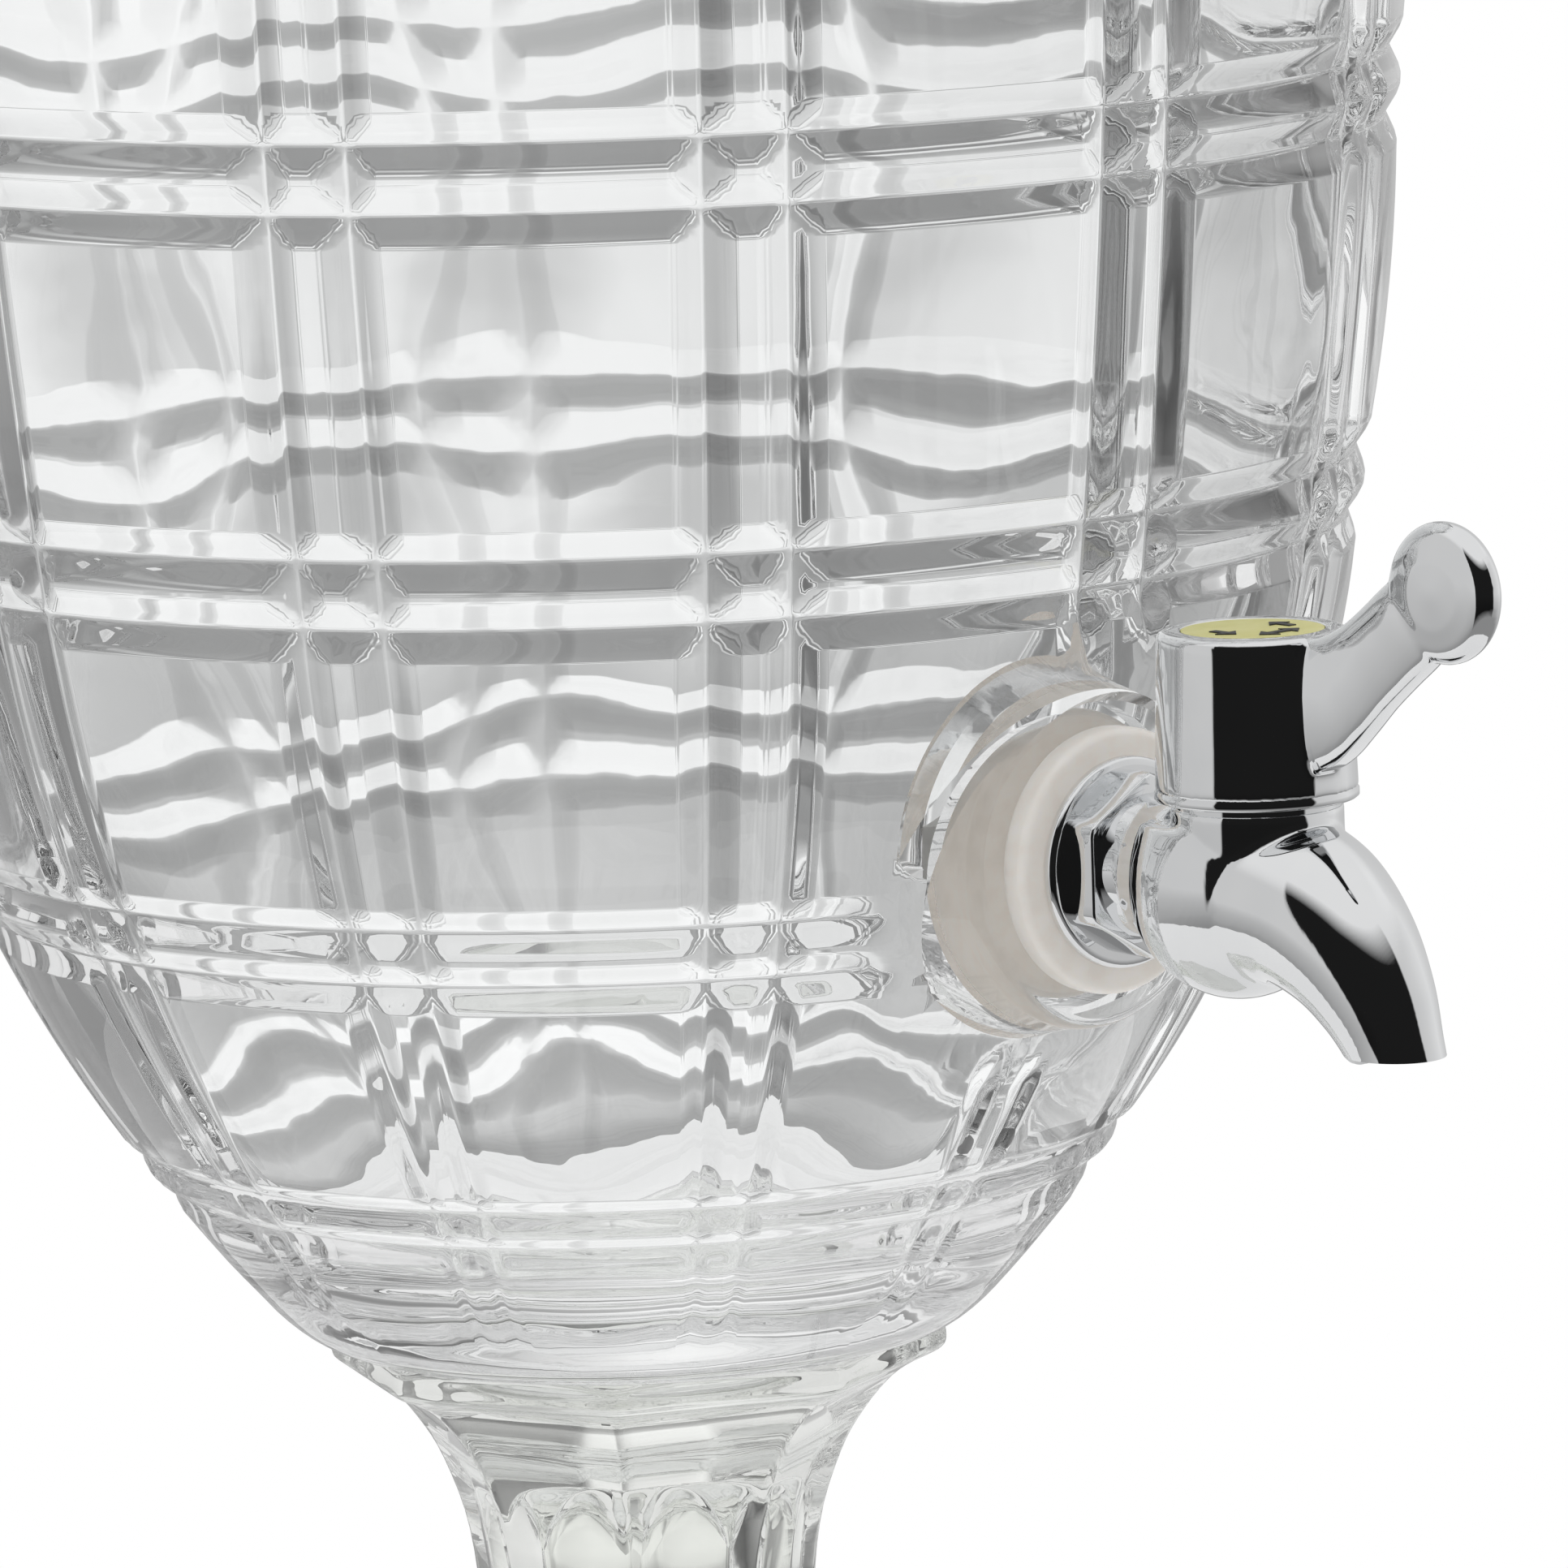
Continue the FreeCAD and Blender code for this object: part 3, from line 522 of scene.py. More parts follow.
def make_lid():
    """The domed lid with radial cuts, a rolled edge, a locating skirt and a cut knob."""
    top = LID_REST + LID_EDGE
    sphere = (LID_DOME_RADIUS ** 2 + LID_DOME_HEIGHT ** 2) / (2.0 * LID_DOME_HEIGHT)
    middle = top + LID_DOME_HEIGHT - sphere

    def dome_z(radius, inset):
        return middle + math.sqrt((sphere - inset) ** 2 - radius ** 2)

    rings = [lid_ring(6.0, dome_z(6.0, LID_WALL))]
    rings += [lid_ring(r, dome_z(r, LID_WALL)) for r in (20.0, 36.0, 52.0, 66.0, 76.5)]
    low = LID_REST - LID_SKIRT_DEPTH
    rings += [lid_ring(77.8, LID_REST - 4.0), lid_ring(78.1, low + 0.6), lid_ring(79.0, low),
              lid_ring(81.2, low), lid_ring(82.0, low + 0.6), lid_ring(LID_SKIRT, LID_REST - 0.4),
              lid_ring(LID_SKIRT + 0.5, LID_REST), lid_ring(LID_RADIUS - 1.2, LID_REST)]
    edge_arc = arc_pairs((LID_RADIUS - LID_EDGE_ROUND, LID_REST + 1.95), LID_EDGE_ROUND, -75.0, 90.0, 11)
    rings += [lid_ring(r, z) for r, z in edge_arc]
    rings += [lid_ring(86.5, LID_REST + 3.9), lid_ring(84.4, top + 0.1)]
    start, full, fading, end = LID_CUT_RADII
    for radius in LID_TOP_RADII:
        depth = LID_CUT_DEPTH * smooth_step(start, full, radius) * smooth_step(end, fading, radius)
        rings.append(lid_ring(radius, dome_z(radius, 0.0), depth))
    body = mesh_from_rings("lid_glass", rings)
    split_along_creases(body)
    knob_rings = []
    for z, corner in KNOB_OUTLINE:
        ring = []
        for angle in stand_angles():
            reach = eight_sided_reach(angle, corner, KNOB_SHARPNESS)
            ring.append((reach * math.sin(angle), -reach * math.cos(angle), z))
        knob_rings.append(ring)
    apply_boolean(body, mesh_from_rings("knob", knob_rings), "UNION")
    return body


# ---- tap ----
BARREL_AXIS = 125.6
CONTACT = 0.06                               # how far a soft washer is pressed into the glass
WASHER_FRONT = 100.0                         # the outer washer's front face
OUTER_WASHER_RADIUS = 17.3
WASHER_BACK = 83.0                           # the inner washer's back face
INNER_WASHER_RADIUS = 18.8
SHANK_END = 74.0
SHANK_RADIUS = 7.9
THREAD_PITCH = 2.2
FLANGE_RADIUS = 13.8
HEX_FLATS = 21.3
HEX_NEAR = 101.8
HEX_FAR = 106.0
BULB_HALF_SIZES = (13.0, 15.4, 15.0)
BULB_OFFSET = 121.4
BULB_BACK = 112.6
BULB_TOP = 197.6                             # the bulb ends here, so that the collar above it stays round
COLLAR_RADIUS = 11.0
COLLAR_TOP = 200.4
# the spout's centre line: (distance from the vessel's axis, height, outer radius)
SPOUT = ((124.0, 189.2, 11.2), (130.0, 188.6, 11.2), (136.0, 186.9, 10.5), (142.0, 182.7, 9.1),
         (146.6, 177.2, 7.6), (149.8, 171.2, 6.2), (151.4, 167.4, 5.65))
SPOUT_TIP_Z = 170.6
BORE_SHARE = 0.72                            # the spout's bore, as a share of its outside
ABOVE_TAP_Z = 230.0
CUTTER_RADIUS = 30.0
CAP_BOTTOM = 201.0
CAP_TOP = 222.6
DISC_RADIUS = 9.1
# the arm's centre line: (distance from the vessel's axis, height, half its height)
ARM = ((131.0, 213.2, 8.8), (135.5, 213.6, 8.8), (139.0, 214.8, 8.2), (142.5, 216.6, 7.1),
       (146.5, 219.3, 6.3), (150.5, 222.3, 6.1), (154.5, 225.4, 6.1), (158.0, 228.2, 5.6))
PADDLE = (160.4, 229.9)                      # the paddle's middle: (distance, height)
PADDLE_RADIUS = 9.0
PADDLE_EDGE = 2.3
BLEND_VOXEL_TAP = 0.28                       # how fine the smoothed castings are
BLEND_VOXEL_CAP = 0.26


def turned_about(name, outline, steps, axis_point, axis):
    """A solid turned from (radius, distance along the axis) pairs about any axis through a point."""
    axis = Vector(axis).normalized()
    first = axis.orthogonal().normalized()
    second = axis.cross(first)
    rings = []
    for radius, distance in outline:
        ring = []
        for step in range(steps):
            turn = 2.0 * math.pi * step / steps
            outward = first * math.cos(turn) + second * math.sin(turn)
            ring.append(tuple(Vector(axis_point) + axis * distance + outward * radius))
        rings.append(ring)
    return mesh_from_rings(name, rings)


def about_tail(name, outline, steps):
    """A solid turned about the tap's level axis from (radius, distance) pairs."""
    return turned_about(name, outline, steps, (0.0, 0.0, TAP_Z), (0, -1, 0))


def about_barrel(name, outline, steps):
    """A solid turned about the barrel's upright axis from (radius, height) pairs."""
    return turned_about(name, outline, steps, (0.0, -BARREL_AXIS, 0.0), (0, 0, 1))


def bar_along(name, stations, scale, extra=0.0, wide=1.0, flat=1.0):
    """A tapering bar along a bent line in the tap's plane of symmetry, flat-faced when flat is under 1."""
    steps = 96
    rings = []
    last = len(stations) - 1
    for number, (distance, height, radius) in enumerate(stations):
        before, after = stations[max(number - 1, 0)], stations[min(number + 1, last)]
        ahead = Vector((0.0, before[0] - after[0], after[1] - before[1])).normalized()
        over = ahead.cross(Vector((1.0, 0.0, 0.0)))
        middle = Vector((0.0, -distance, height)) + (ahead * extra if number == last else Vector())
        ring = []
        for step in range(steps):
            turn = 2.0 * math.pi * step / steps
            across = math.copysign(abs(math.cos(turn)) ** flat, math.cos(turn))
            ring.append(tuple(middle + Vector((radius * scale * wide * across, 0.0, 0.0))
                              + over * radius * scale * math.sin(turn)))
        rings.append(ring)
    return mesh_from_rings(name, rings)


def blend(target, others, voxel, rounds):
    """Joins closed pieces into one and rounds the corners between them."""
    for other in others:
        apply_boolean(target, other, "UNION")
    remesh = target.modifiers.new("remesh", "REMESH")
    remesh.mode = "VOXEL"
    remesh.voxel_size = voxel * MM
    smooth = target.modifiers.new("smooth", "SMOOTH")
    smooth.factor = 0.5
    smooth.iterations = rounds
    graph = bpy.context.evaluated_depsgraph_get()
    fresh = bpy.data.meshes.new_from_object(target.evaluated_get(graph))
    target.modifiers.clear()
    target.data = fresh
    return target


def join_pieces(target, others):
    """Puts several pieces into one object."""
    bm = bmesh.new()
    bm.from_mesh(target.data)
    for other in others:
        bm.from_mesh(other.data)
        bpy.data.objects.remove(other)
    bm.to_mesh(target.data)
    bm.free()
    return target


def make_washer(name, radius, near, far):
    """A soft washer round the tap's tail, its outer edges rounded, between two distances from the axis."""
    hole = SHANK_RADIUS + 0.12
    edge = 1.1
    outline = [(hole, near), (radius - edge, near)]
    outline += arc_pairs((radius - edge, near + edge), edge, -75.0, 0.0, 5)
    outline += arc_pairs((radius - edge, far - edge), edge, 0.0, 90.0, 6)
    outline += [(hole, far)]
    body = about_tail(name, outline, 96)
    bore = plain_disc(hole + 0.05, near - 1.0, far + 1.0, 0.5)
    apply_boolean(body, about_tail("bore", bore, 64), "DIFFERENCE")
    return body


def make_outer_washer():
    """The washer between the glass and the tap's flange."""
    return make_washer("silicone_outer", OUTER_WASHER_RADIUS, BOSS_FACE - CONTACT, WASHER_FRONT)


def make_inner_washer():
    """The washer between the glass and the lock nut."""
    return make_washer("silicone_inner", INNER_WASHER_RADIUS, WASHER_BACK, SEAT_FACE + CONTACT)


def make_hexagon():
    """The tap's hexagon, its sides facing left and right, its corners slightly turned off."""
    corner = HEX_FLATS / math.sqrt(3.0)
    sharpness = 160.0
    steps = 72
    ends = ((HEX_NEAR - 0.5, 0.0), (HEX_FAR - 0.35, 0.0), (HEX_FAR, 0.5), (HEX_FAR + 0.02, 3.0))
    rings = []
    for distance, inset in ends:
        ring = []
        for step in range(steps):
            turn = 2.0 * math.pi * step / steps
            total = sum(max(0.0, math.cos(turn - math.radians(60.0 * k))) ** sharpness for k in range(6))
            reach = 0.5 * HEX_FLATS / total ** (1.0 / sharpness) - inset
            reach = min(reach, corner * 0.985 - inset)
            ring.append((reach * math.cos(turn), -distance, TAP_Z + reach * math.sin(turn)))
        rings.append(ring)
    return mesh_from_rings("hexagon", rings)


def make_tap():
    """The chrome tap: threaded tail, flange and hexagon, and a body, spout and collar moulded as one."""
    bulb = []
    for step in range(33):
        share = step / 32.0
        distance = BULB_BACK + (BULB_OFFSET + BULB_HALF_SIZES[1] - BULB_BACK) * (1.0 - (1.0 - share) ** 1.6)
        along = (distance - BULB_OFFSET) / BULB_HALF_SIZES[1]
        bulb.append((max(0.3, math.sqrt(max(0.0, 1.0 - along * along))), distance))
    rings = []
    for share, distance in [(0.3, BULB_BACK)] + bulb:
        turns = [math.pi * k / 64.0 for k in range(128)]
        rings.append([(BULB_HALF_SIZES[0] * share * math.cos(turn), -distance,
                       TAP_Z - 0.4 + BULB_HALF_SIZES[2] * share * math.sin(turn)) for turn in turns])
    body = mesh_from_rings("tap_chrome", rings)
    above = plain_disc(CUTTER_RADIUS, BULB_TOP, ABOVE_TAP_Z)
    apply_boolean(body, about_barrel("above", above, 48), "DIFFERENCE")
    neck_outline = [(2.0, HEX_FAR - 1.0), (9.6, HEX_FAR - 1.0), (9.3, HEX_FAR + 3.0), (9.9, BULB_BACK + 2.0),
                    (2.0, BULB_BACK + 3.0)]
    neck = about_tail("neck", neck_outline, 64)
    collar = about_barrel("collar", plain_disc(COLLAR_RADIUS, 186.0, COLLAR_TOP), 96)
    spout = bar_along("spout", through(SPOUT, 10), 1.0)
    blend(body, [neck, collar, spout], BLEND_VOXEL_TAP, 24)
    apply_boolean(body, bar_along("bore", SPOUT[2:], BORE_SHARE, extra=6.0), "DIFFERENCE")
    below = plain_disc(14.0, 150.0, SPOUT_TIP_Z)
    apply_boolean(body, turned_about("below", below, 48, (0.0, -158.0, 0.0), (0, 0, 1)), "DIFFERENCE")
    trim = plain_disc(CUTTER_RADIUS, COLLAR_TOP - 0.35, ABOVE_TAP_Z)
    apply_boolean(body, about_barrel("trim", trim, 48), "DIFFERENCE")
    # the barrel is closed across its middle, where the plug passes through it out of sight
    barrel_outline = [(8.06, 199.0), (10.6, 199.0), (10.6, 205.7), (10.3, 206.0), (8.3, 206.0), (8.06, 205.7)]
    barrel = about_barrel("barrel", barrel_outline, 96)
    tail = [(1.0, SHANK_END), (SHANK_RADIUS - 1.2, SHANK_END), (SHANK_RADIUS - 0.7, SHANK_END + 0.6)]
    place = SHANK_END + 1.0
    root, crest = SHANK_RADIUS - 0.65, SHANK_RADIUS - 0.05
    while place < WASHER_FRONT - 3.0:
        tail += [(root, place), (crest, place + 0.8), (SHANK_RADIUS, place + 1.0), (crest, place + 1.2),
                 (root, place + 2.0)]
        place += THREAD_PITCH
    tail += [(SHANK_RADIUS - 0.7, WASHER_FRONT), (FLANGE_RADIUS - 0.5, WASHER_FRONT + 0.03),
             (FLANGE_RADIUS - 0.08, WASHER_FRONT + 0.3), (FLANGE_RADIUS, WASHER_FRONT + 0.7),
             (FLANGE_RADIUS - 0.1, HEX_NEAR - 0.45), (FLANGE_RADIUS - 0.5, HEX_NEAR - 0.1), (12.6, HEX_NEAR),
             (1.0, HEX_NEAR)]
    shank = about_tail("shank", tail, 72)
    return join_pieces(body, [shank, make_hexagon(), barrel])


def make_cap():
    """The chrome handle: a slightly tapering cap with a lip, and an arm that flows into a round paddle."""
    wall_low, wall_high = 202.2, CAP_TOP - 1.4
    outline = [(1.0, wall_low), (12.9, wall_low)]
    outline += [(12.9 - 0.6 * k / 10.0, wall_low + (wall_high - wall_low) * k / 10.0) for k in range(1, 11)]
    outline += [(11.3 + r, CAP_TOP - 1.0 + z) for r, z in arc_pairs((0.0, 0.0), 1.0, 0.0, 90.0, 5)]
    outline += [(1.0, CAP_TOP)]
    cap = about_barrel("handle_chrome", outline, 96)
    arm_bar = bar_along("arm", through(ARM, 6), 1.0, wide=0.40, flat=0.35)
    rim = [(0.6, -2.75), (4.5, -2.6)]
    rim += arc_pairs((PADDLE_RADIUS - PADDLE_EDGE, 0.0), PADDLE_EDGE, -80.0, 80.0, 10)
    rim += [(4.5, 2.6), (0.6, 2.75)]
    paddle = turned_about("paddle", rim, 72, (0.0, -PADDLE[0], PADDLE[1]), (1, 0, 0))
    blend(cap, [arm_bar, paddle], BLEND_VOXEL_CAP, 22)
    # the lip too is closed across its middle, where the barrel passes through it out of sight
    lip = [(11.15, CAP_BOTTOM), (12.7, CAP_BOTTOM), (13.0, CAP_BOTTOM + 0.25), (13.0, CAP_BOTTOM + 1.0),
           (12.75, CAP_BOTTOM + 1.3), (12.6, CAP_BOTTOM + 2.2), (11.15, CAP_BOTTOM + 2.2)]
    lip_ring = about_barrel("lip", lip, 128)
    recess = [(1.0, 221.2), (DISC_RADIUS + 0.08, 221.2), (DISC_RADIUS + 0.08, CAP_TOP - 0.25),
              (DISC_RADIUS + 0.5, CAP_TOP + 0.3), (1.0, CAP_TOP + 0.3)]
    apply_boolean(cap, about_barrel("hollow", plain_disc(11.12, 200.0, 206.6), 96), "DIFFERENCE")
    apply_boolean(cap, about_barrel("recess", recess, 96), "DIFFERENCE")
    apply_boolean(cap, about_barrel("well", plain_disc(4.85, 216.7, 224.0), 64), "DIFFERENCE")
    return join_pieces(cap, [lip_ring])


def finish_shading(obj, angle):
    """Smooth shading in which large faces stay flat and only corners sharper than angle degrees break."""
    for poly in obj.data.polygons:
        poly.use_smooth = True
    obj.data.set_sharp_from_angle(angle=math.radians(angle))
    weighted = obj.modifiers.new("weighted_normals", "WEIGHTED_NORMAL")
    weighted.mode = "FACE_AREA_WITH_ANGLE"
    weighted.keep_sharp = True


# ---- materials ----
def new_material(name):
    """A new node material, with its node tree and its shader."""
    mat = bpy.data.materials.new(name)
    mat.use_nodes = True
    tree = mat.node_tree
    return mat, tree, tree.nodes["Principled BSDF"]


def add_node(tree, kind, **inputs):
    """A node with its inputs set by name."""
    made = tree.nodes.new(kind)
    for name, value in inputs.items():
        made.inputs[name.replace("_", " ")].default_value = value
    return made


GLASS_IOR = 1.52
CLEAR = (0.985, 0.99, 0.99)
GREY_GREEN = (0.915, 0.925, 0.90)


def glass_material(name, tint, ripple, ripple_scale):
    """Clear pressed glass with a faint ripple and a slight change of tint."""
    mat, tree, shader = new_material(name)
    shader.inputs["Transmission Weight"].default_value = 1.0
    shader.inputs["IOR"].default_value = GLASS_IOR
    shader.inputs["Roughness"].default_value = 0.0
    place = add_node(tree, "ShaderNodeTexCoord")
    soft = add_node(tree, "ShaderNodeTexNoise", Scale=ripple_scale, Detail=2.0, Roughness=0.4)
    tree.links.new(place.outputs["Object"], soft.inputs["Vector"])
    bump = add_node(tree, "ShaderNodeBump", Strength=ripple, Distance=0.001)
    tree.links.new(soft.outputs["Fac"], bump.inputs["Height"])
    tree.links.new(bump.outputs["Normal"], shader.inputs["Normal"])
    shade = add_node(tree, "ShaderNodeTexNoise", Scale=14.0, Detail=1.0)
    tree.links.new(place.outputs["Object"], shade.inputs["Vector"])
    ramp = tree.nodes.new("ShaderNodeValToRGB")
    ramp.color_ramp.elements[0].color = (*[c * 0.985 for c in tint], 1.0)
    ramp.color_ramp.elements[1].color = (*tint, 1.0)
    tree.links.new(shade.outputs["Fac"], ramp.inputs["Fac"])
    tree.links.new(ramp.outputs["Color"], shader.inputs["Base Color"])
    return mat


def chrome_material(name):
    """Chrome plate: mirror bright with the faint orange peel of a plated moulding."""
    mat, tree, shader = new_material(name)
    shader.inputs["Metallic"].default_value = 1.0
    place = add_node(tree, "ShaderNodeTexCoord")
    peel = add_node(tree, "ShaderNodeTexNoise", Scale=160.0, Detail=1.0)
    tree.links.new(place.outputs["Object"], peel.inputs["Vector"])
    bump = add_node(tree, "ShaderNodeBump", Strength=0.004, Distance=0.001)
    tree.links.new(peel.outputs["Fac"], bump.inputs["Height"])
    tree.links.new(bump.outputs["Normal"], shader.inputs["Normal"])
    ramp = tree.nodes.new("ShaderNodeValToRGB")
    ramp.color_ramp.elements[0].color = (0.80, 0.81, 0.82, 1.0)
    ramp.color_ramp.elements[1].color = (0.86, 0.865, 0.87, 1.0)
    tree.links.new(peel.outputs["Fac"], ramp.inputs["Fac"])
    tree.links.new(ramp.outputs["Color"], shader.inputs["Base Color"])
    haze = add_node(tree, "ShaderNodeTexNoise", Scale=420.0, Detail=3.0)
    tree.links.new(place.outputs["Object"], haze.inputs["Vector"])
    spread = add_node(tree, "ShaderNodeMapRange")
    spread.inputs["To Min"].default_value = 0.01
    spread.inputs["To Max"].default_value = 0.04
    tree.links.new(haze.outputs["Fac"], spread.inputs["Value"])
    tree.links.new(spread.outputs["Result"], shader.inputs["Roughness"])
    return mat


def moulded_material(name, low, high, roughness, scale, bump_strength=0.15, subsurface=0.0):
    """A moulded plastic, rubber or ink with fine mottling and a faint grain."""
    mat, tree, shader = new_material(name)
    place = add_node(tree, "ShaderNodeTexCoord")
    mottle = add_node(tree, "ShaderNodeTexNoise", Scale=scale, Detail=4.0)
    tree.links.new(place.outputs["Object"], mottle.inputs["Vector"])
    ramp = tree.nodes.new("ShaderNodeValToRGB")
    ramp.color_ramp.elements[0].color = (*low, 1.0)
    ramp.color_ramp.elements[0].position = 0.35
    ramp.color_ramp.elements[1].color = (*high, 1.0)
    ramp.color_ramp.elements[1].position = 0.65
    tree.links.new(mottle.outputs["Fac"], ramp.inputs["Fac"])
    tree.links.new(ramp.outputs["Color"], shader.inputs["Base Color"])
    bump = add_node(tree, "ShaderNodeBump", Strength=bump_strength, Distance=0.0002)
    tree.links.new(mottle.outputs["Fac"], bump.inputs["Height"])
    tree.links.new(bump.outputs["Normal"], shader.inputs["Normal"])
    shader.inputs["Roughness"].default_value = roughness
    if subsurface:
        shader.inputs["Subsurface Weight"].default_value = subsurface
        shader.inputs["Subsurface Radius"].default_value = (1.0, 0.9, 0.8)
        shader.inputs["Subsurface Scale"].default_value = 0.003
    return mat


vessel_glass = glass_material("vessel_glass", CLEAR, 0.07, 60.0)
lid_glass = glass_material("lid_glass", CLEAR, 0.07, 60.0)
stand_glass = glass_material("stand_glass", GREY_GREEN, 0.12, 70.0)
chrome = chrome_material("chrome_plate")
silicone = moulded_material("silicone", (0.80, 0.765, 0.715), (0.89, 0.86, 0.82), 0.38, 300.0, 0.1, 0.6)
# a painted glow: the washers glow faintly, standing in for the light that reaches them through the glass and
# passes through their translucent silicone
washer_glow_shader = silicone.node_tree.nodes["Principled BSDF"]
washer_glow_shader.inputs["Emission Color"].default_value = (0.90, 0.85, 0.79, 1.0)
washer_glow_shader.inputs["Emission Strength"].default_value = 0.20
white_plastic = moulded_material("white_plastic", (0.70, 0.69, 0.66), (0.76, 0.75, 0.72), 0.35, 250.0)
ring_rubber = moulded_material("ring_rubber", (0.02, 0.02, 0.02), (0.04, 0.04, 0.04), 0.5, 400.0)
steel = moulded_material("screw_steel", (0.50, 0.50, 0.49), (0.60, 0.60, 0.59), 0.25, 500.0)
steel.node_tree.nodes["Principled BSDF"].inputs["Metallic"].default_value = 1.0
yellow = moulded_material("disc_yellow", (0.84, 0.80, 0.30), (0.90, 0.86, 0.38), 0.4, 260.0)
ink = moulded_material("arrow_ink", (0.012, 0.012, 0.012), (0.03, 0.03, 0.03), 0.45, 500.0)

NODE_MATERIALS = {
    "stand": stand_glass, "vessel": vessel_glass, "lid": lid_glass, "outer_washer": silicone,
    "inner_washer": silicone, "lock_nut": white_plastic, "tap_body": chrome, "valve_plug": white_plastic,
    "lower_o_ring": ring_rubber, "upper_o_ring": ring_rubber, "handle_cap": chrome, "screw_washer": steel,
    "handle_screw": steel, "indicator_disc": yellow, "indicator_arrows": ink,
}


def dress(obj, material):
    """Gives an object one material."""
    obj.data.materials.clear()
    obj.data.materials.append(material)


for node_name, material in NODE_MATERIALS.items():
    dress(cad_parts[node_name], material)

# each piece: how it is made, its material, its colour slot, the CAD node it replaces, the body it moves
# with, and the angle in degrees above which its corners are sharp
PIECES = (
    (make_vessel, vessel_glass, "vessel_glass", "vessel", "vessel", 50.0),
    (make_stand, stand_glass, "stand_glass", "stand", "stand", 30.0),
    (make_lid, lid_glass, "lid_glass", "lid", "lid", 30.0),
    (make_outer_washer, silicone, "silicone", "outer_washer", "vessel", 40.0),
    (make_inner_washer, silicone, "silicone", "inner_washer", "vessel", 40.0),
    (make_tap, chrome, "tap_chrome", "tap_body", "vessel", 62.0),
    (make_cap, chrome, "handle_chrome", "handle_cap", "handle", 62.0),
)
for make, material, slot, node, body, crease in PIECES:
    piece = make()
    finish_shading(piece, crease)
    dress(piece, material)
    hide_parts(node)
    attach(piece, body)


# ---- camera, floor and light ----
CAMERA_AZIMUTH = math.radians(-39.93)
CAMERA_DISTANCE = 1.45056
CAMERA_HEIGHT = 0.41474
CAMERA_PITCH = 0.153772
CAMERA_YAW = 0.0154237
CAMERA_ROLL = -0.0330131
CAMERA_LENS = 249.13
CAMERA_SENSOR = 36.0


def make_camera():
    """The camera, level distance and height from the stand's foot, looking down a little."""
    data = bpy.data.cameras.new("camera")
    data.lens = CAMERA_LENS
    data.sensor_width = CAMERA_SENSOR
    data.clip_end = 20.0
    camera = bpy.data.objects.new("camera", data)
    bpy.context.scene.collection.objects.link(camera)
    turn = Matrix.Rotation(CAMERA_AZIMUTH, 3, "Z")
    place = turn @ Vector((0.0, -CAMERA_DISTANCE, CAMERA_HEIGHT))
    level = math.cos(CAMERA_PITCH)
    ahead = Vector((math.sin(CAMERA_YAW) * level, math.cos(CAMERA_YAW) * level, -math.sin(CAMERA_PITCH)))
    right = Vector((math.cos(CAMERA_YAW), -math.sin(CAMERA_YAW), 0.0))
    up = right.cross(ahead)
    rolled_right = right * math.cos(CAMERA_ROLL) + up * math.sin(CAMERA_ROLL)
    rolled_up = up * math.cos(CAMERA_ROLL) - right * math.sin(CAMERA_ROLL)
    basis = Matrix((turn @ rolled_right, turn @ rolled_up, turn @ -ahead)).transposed()
    camera.matrix_world = Matrix.Translation(place) @ basis.to_4x4()
    bpy.context.scene.camera = camera


FLOOR_RADIUS = 0.30


def make_floor():
    """A plain pale round table top, level with the foot."""
    mesh = bpy.data.meshes.new("floor")
    bm = bmesh.new()
    bmesh.ops.create_circle(bm, cap_ends=True, radius=FLOOR_RADIUS, segments=128)
    bm.to_mesh(mesh)
    bm.free()
    floor = bpy.data.objects.new("floor", mesh)
    bpy.context.scene.collection.objects.link(floor)
    mat, _, shader = new_material("floor")
    shader.inputs["Base Color"].default_value = (0.20, 0.20, 0.20, 1.0)
    shader.inputs["Emission Color"].default_value = (1.0, 1.0, 1.0, 1.0)
    shader.inputs["Emission Strength"].default_value = 0.62
    shader.inputs["Roughness"].default_value = 0.6
    dress(floor, mat)


# how bright the studio is by direction: degrees round from straight behind the object, positive to the
# camera's right, for light that comes through the glass and for mirror reflections
LIGHT_THROUGH = ((-180, 0.38), (-150, 0.30), (-125, 0.16), (-119, 0.62), (-60, 0.74), (-28, 0.82),
                 (-15, 0.93), (-5, 1.03), (0, 1.00), (3, 0.91), (9, 0.76), (16, 0.54), (24, 0.42),
                 (34, 0.16), (48, 0.08), (60, 0.36), (108, 0.52), (115, 0.16), (150, 0.30), (180, 0.38))
LIGHT_MIRRORED = ((-180, 0.012), (-128, 0.012), (-126, 0.66), (-60, 0.64), (-20, 0.62), (0, 0.58),
                  (40, 0.70), (60, 0.82), (90, 0.70), (113, 0.64), (116, 0.012), (180, 0.012))
# and by height: degrees above level
LIGHT_BY_HEIGHT = ((-90, 0.32), (-24, 0.32), (-19, 0.36), (-14, 0.45), (-9, 0.60), (-7.6, 0.68),
                   (-6.3, 0.94), (-4, 1.03), (6, 1.0), (15, 0.95), (35, 0.92), (50, 0.92), (90, 0.92))
MIRRORED_BY_HEIGHT = ((-90, 0.50), (-24, 0.60), (-12, 0.80), (-4, 1.0), (30, 1.0), (45, 1.2), (90, 1.3))
OVERHEAD_LIGHT = 0.84
OVERHEAD_RANGE = (0.55, 0.75)                # sines of the heights between which the light overhead sets in
TABLE_LIGHT = 0.28
TABLE_RANGE = (-0.38, -0.55)                 # and those between which the table below sets in
DIFFUSE_GAIN = 1.5
BOUNCES = 24                                 # light turned back inside glass counts as a glossy bounce


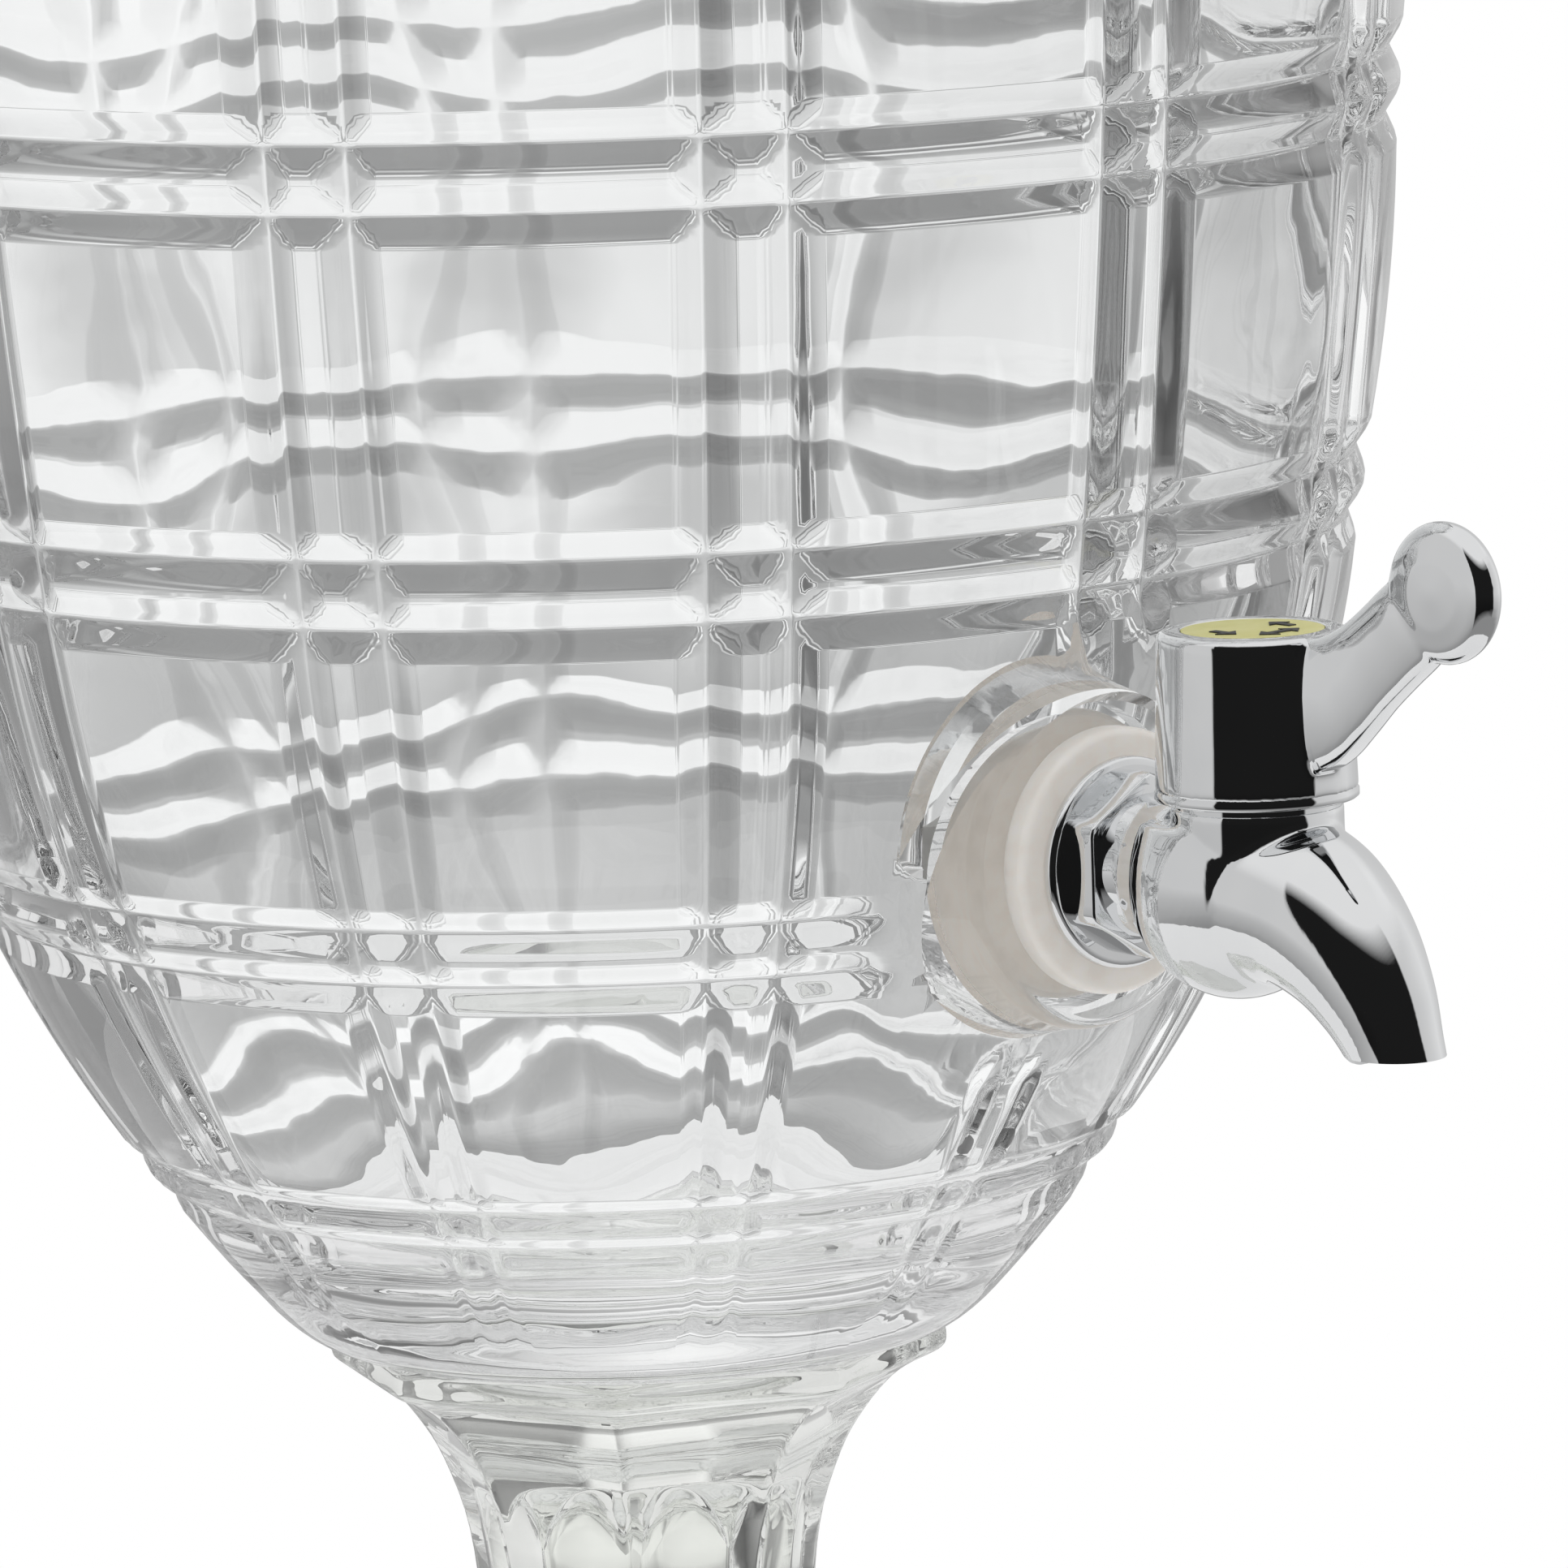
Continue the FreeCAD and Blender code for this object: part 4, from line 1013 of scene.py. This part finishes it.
def make_world():
    """A white studio: bright behind, darker towards the camera's right and below, unlit in front."""
    world = bpy.data.worlds.new("studio")
    bpy.context.scene.world = world
    world.use_nodes = True
    world.cycles.sampling_method = "NONE"
    tree = world.node_tree
    tree.nodes.clear()
    link = tree.links.new
    out = tree.nodes.new("ShaderNodeOutputWorld")
    light = tree.nodes.new("ShaderNodeBackground")
    link(light.outputs["Background"], out.inputs["Surface"])
    place = tree.nodes.new("ShaderNodeTexCoord")

    def along(direction):
        dot = tree.nodes.new("ShaderNodeVectorMath")
        dot.operation = "DOT_PRODUCT"
        dot.inputs[1].default_value = direction
        link(place.outputs["Generated"], dot.inputs[0])
        return dot.outputs["Value"]

    def ramp_of(value, low, high, pairs):
        share = add_node(tree, "ShaderNodeMapRange", From_Min=low, From_Max=high)
        link(value, share.inputs["Value"])
        ramp = tree.nodes.new("ShaderNodeValToRGB")
        stops = ramp.color_ramp.elements
        for number, (where, bright) in enumerate(pairs):
            place_at = (where - low) / (high - low)
            stop = stops[number] if number < 2 else stops.new(place_at)
            stop.position = place_at
            stop.color = (bright, bright, bright, 1.0)
        link(share.outputs["Result"], ramp.inputs["Fac"])
        return ramp.outputs["Color"]

    def mixed(factor, first, second, blend="MIX"):
        mix = tree.nodes.new("ShaderNodeMix")
        mix.data_type = "RGBA"
        mix.blend_type = blend
        for socket, value in (("Factor", factor), ("A", first), ("B", second)):
            if isinstance(value, float):
                mix.inputs[socket].default_value = value if socket == "Factor" else (value, value, value, 1.0)
            else:
                link(value, mix.inputs[socket])
        return mix.outputs["Result"]

    side, ahead = math.sin(CAMERA_AZIMUTH), math.cos(CAMERA_AZIMUTH)
    turn = tree.nodes.new("ShaderNodeMath")
    turn.operation = "ARCTAN2"
    link(along((ahead, side, 0.0)), turn.inputs[0])
    link(along((-side, ahead, 0.0)), turn.inputs[1])
    upward = along((0.0, 0.0, 1.0))
    lights = []
    tables = ((LIGHT_THROUGH, LIGHT_BY_HEIGHT), (LIGHT_MIRRORED, MIRRORED_BY_HEIGHT))
    for round_pairs, height_pairs in tables:
        round_stops = [(math.radians(degrees), bright) for degrees, bright in round_pairs]
        height_stops = [(math.sin(math.radians(degrees)), bright) for degrees, bright in height_pairs]
        level = ramp_of(turn.outputs["Value"], -math.pi, math.pi, round_stops)
        rise = ramp_of(upward, -1.0, 1.0, height_stops)
        start, full = OVERHEAD_RANGE
        overhead = add_node(tree, "ShaderNodeMapRange", From_Min=start, From_Max=full)
        link(upward, overhead.inputs["Value"])
        start, full = TABLE_RANGE
        underneath = add_node(tree, "ShaderNodeMapRange", From_Min=start, From_Max=full)
        link(upward, underneath.inputs["Value"])
        lit = mixed(overhead.outputs["Result"], mixed(1.0, level, rise, "MULTIPLY"), OVERHEAD_LIGHT)
        lights.append(mixed(underneath.outputs["Result"], lit, TABLE_LIGHT))
    rays = tree.nodes.new("ShaderNodeLightPath")
    # light that has come through glass counts as glossy too, so it is picked out after the mirrored light
    lit = mixed(rays.outputs["Is Glossy Ray"], lights[0], lights[1])
    lit = mixed(rays.outputs["Is Transmission Ray"], lit, lights[0])
    lit = mixed(rays.outputs["Is Diffuse Ray"], lit, mixed(1.0, lights[0], DIFFUSE_GAIN, "MULTIPLY"))
    lit = mixed(rays.outputs["Is Camera Ray"], lit, 1.0)
    link(lit, light.inputs["Color"])


make_camera()
make_floor()
make_world()
bpy.context.scene.view_settings.view_transform = "Standard"
bpy.context.scene.cycles.transmission_bounces = BOUNCES
bpy.context.scene.cycles.glossy_bounces = BOUNCES
bpy.context.scene.cycles.max_bounces = BOUNCES + 8
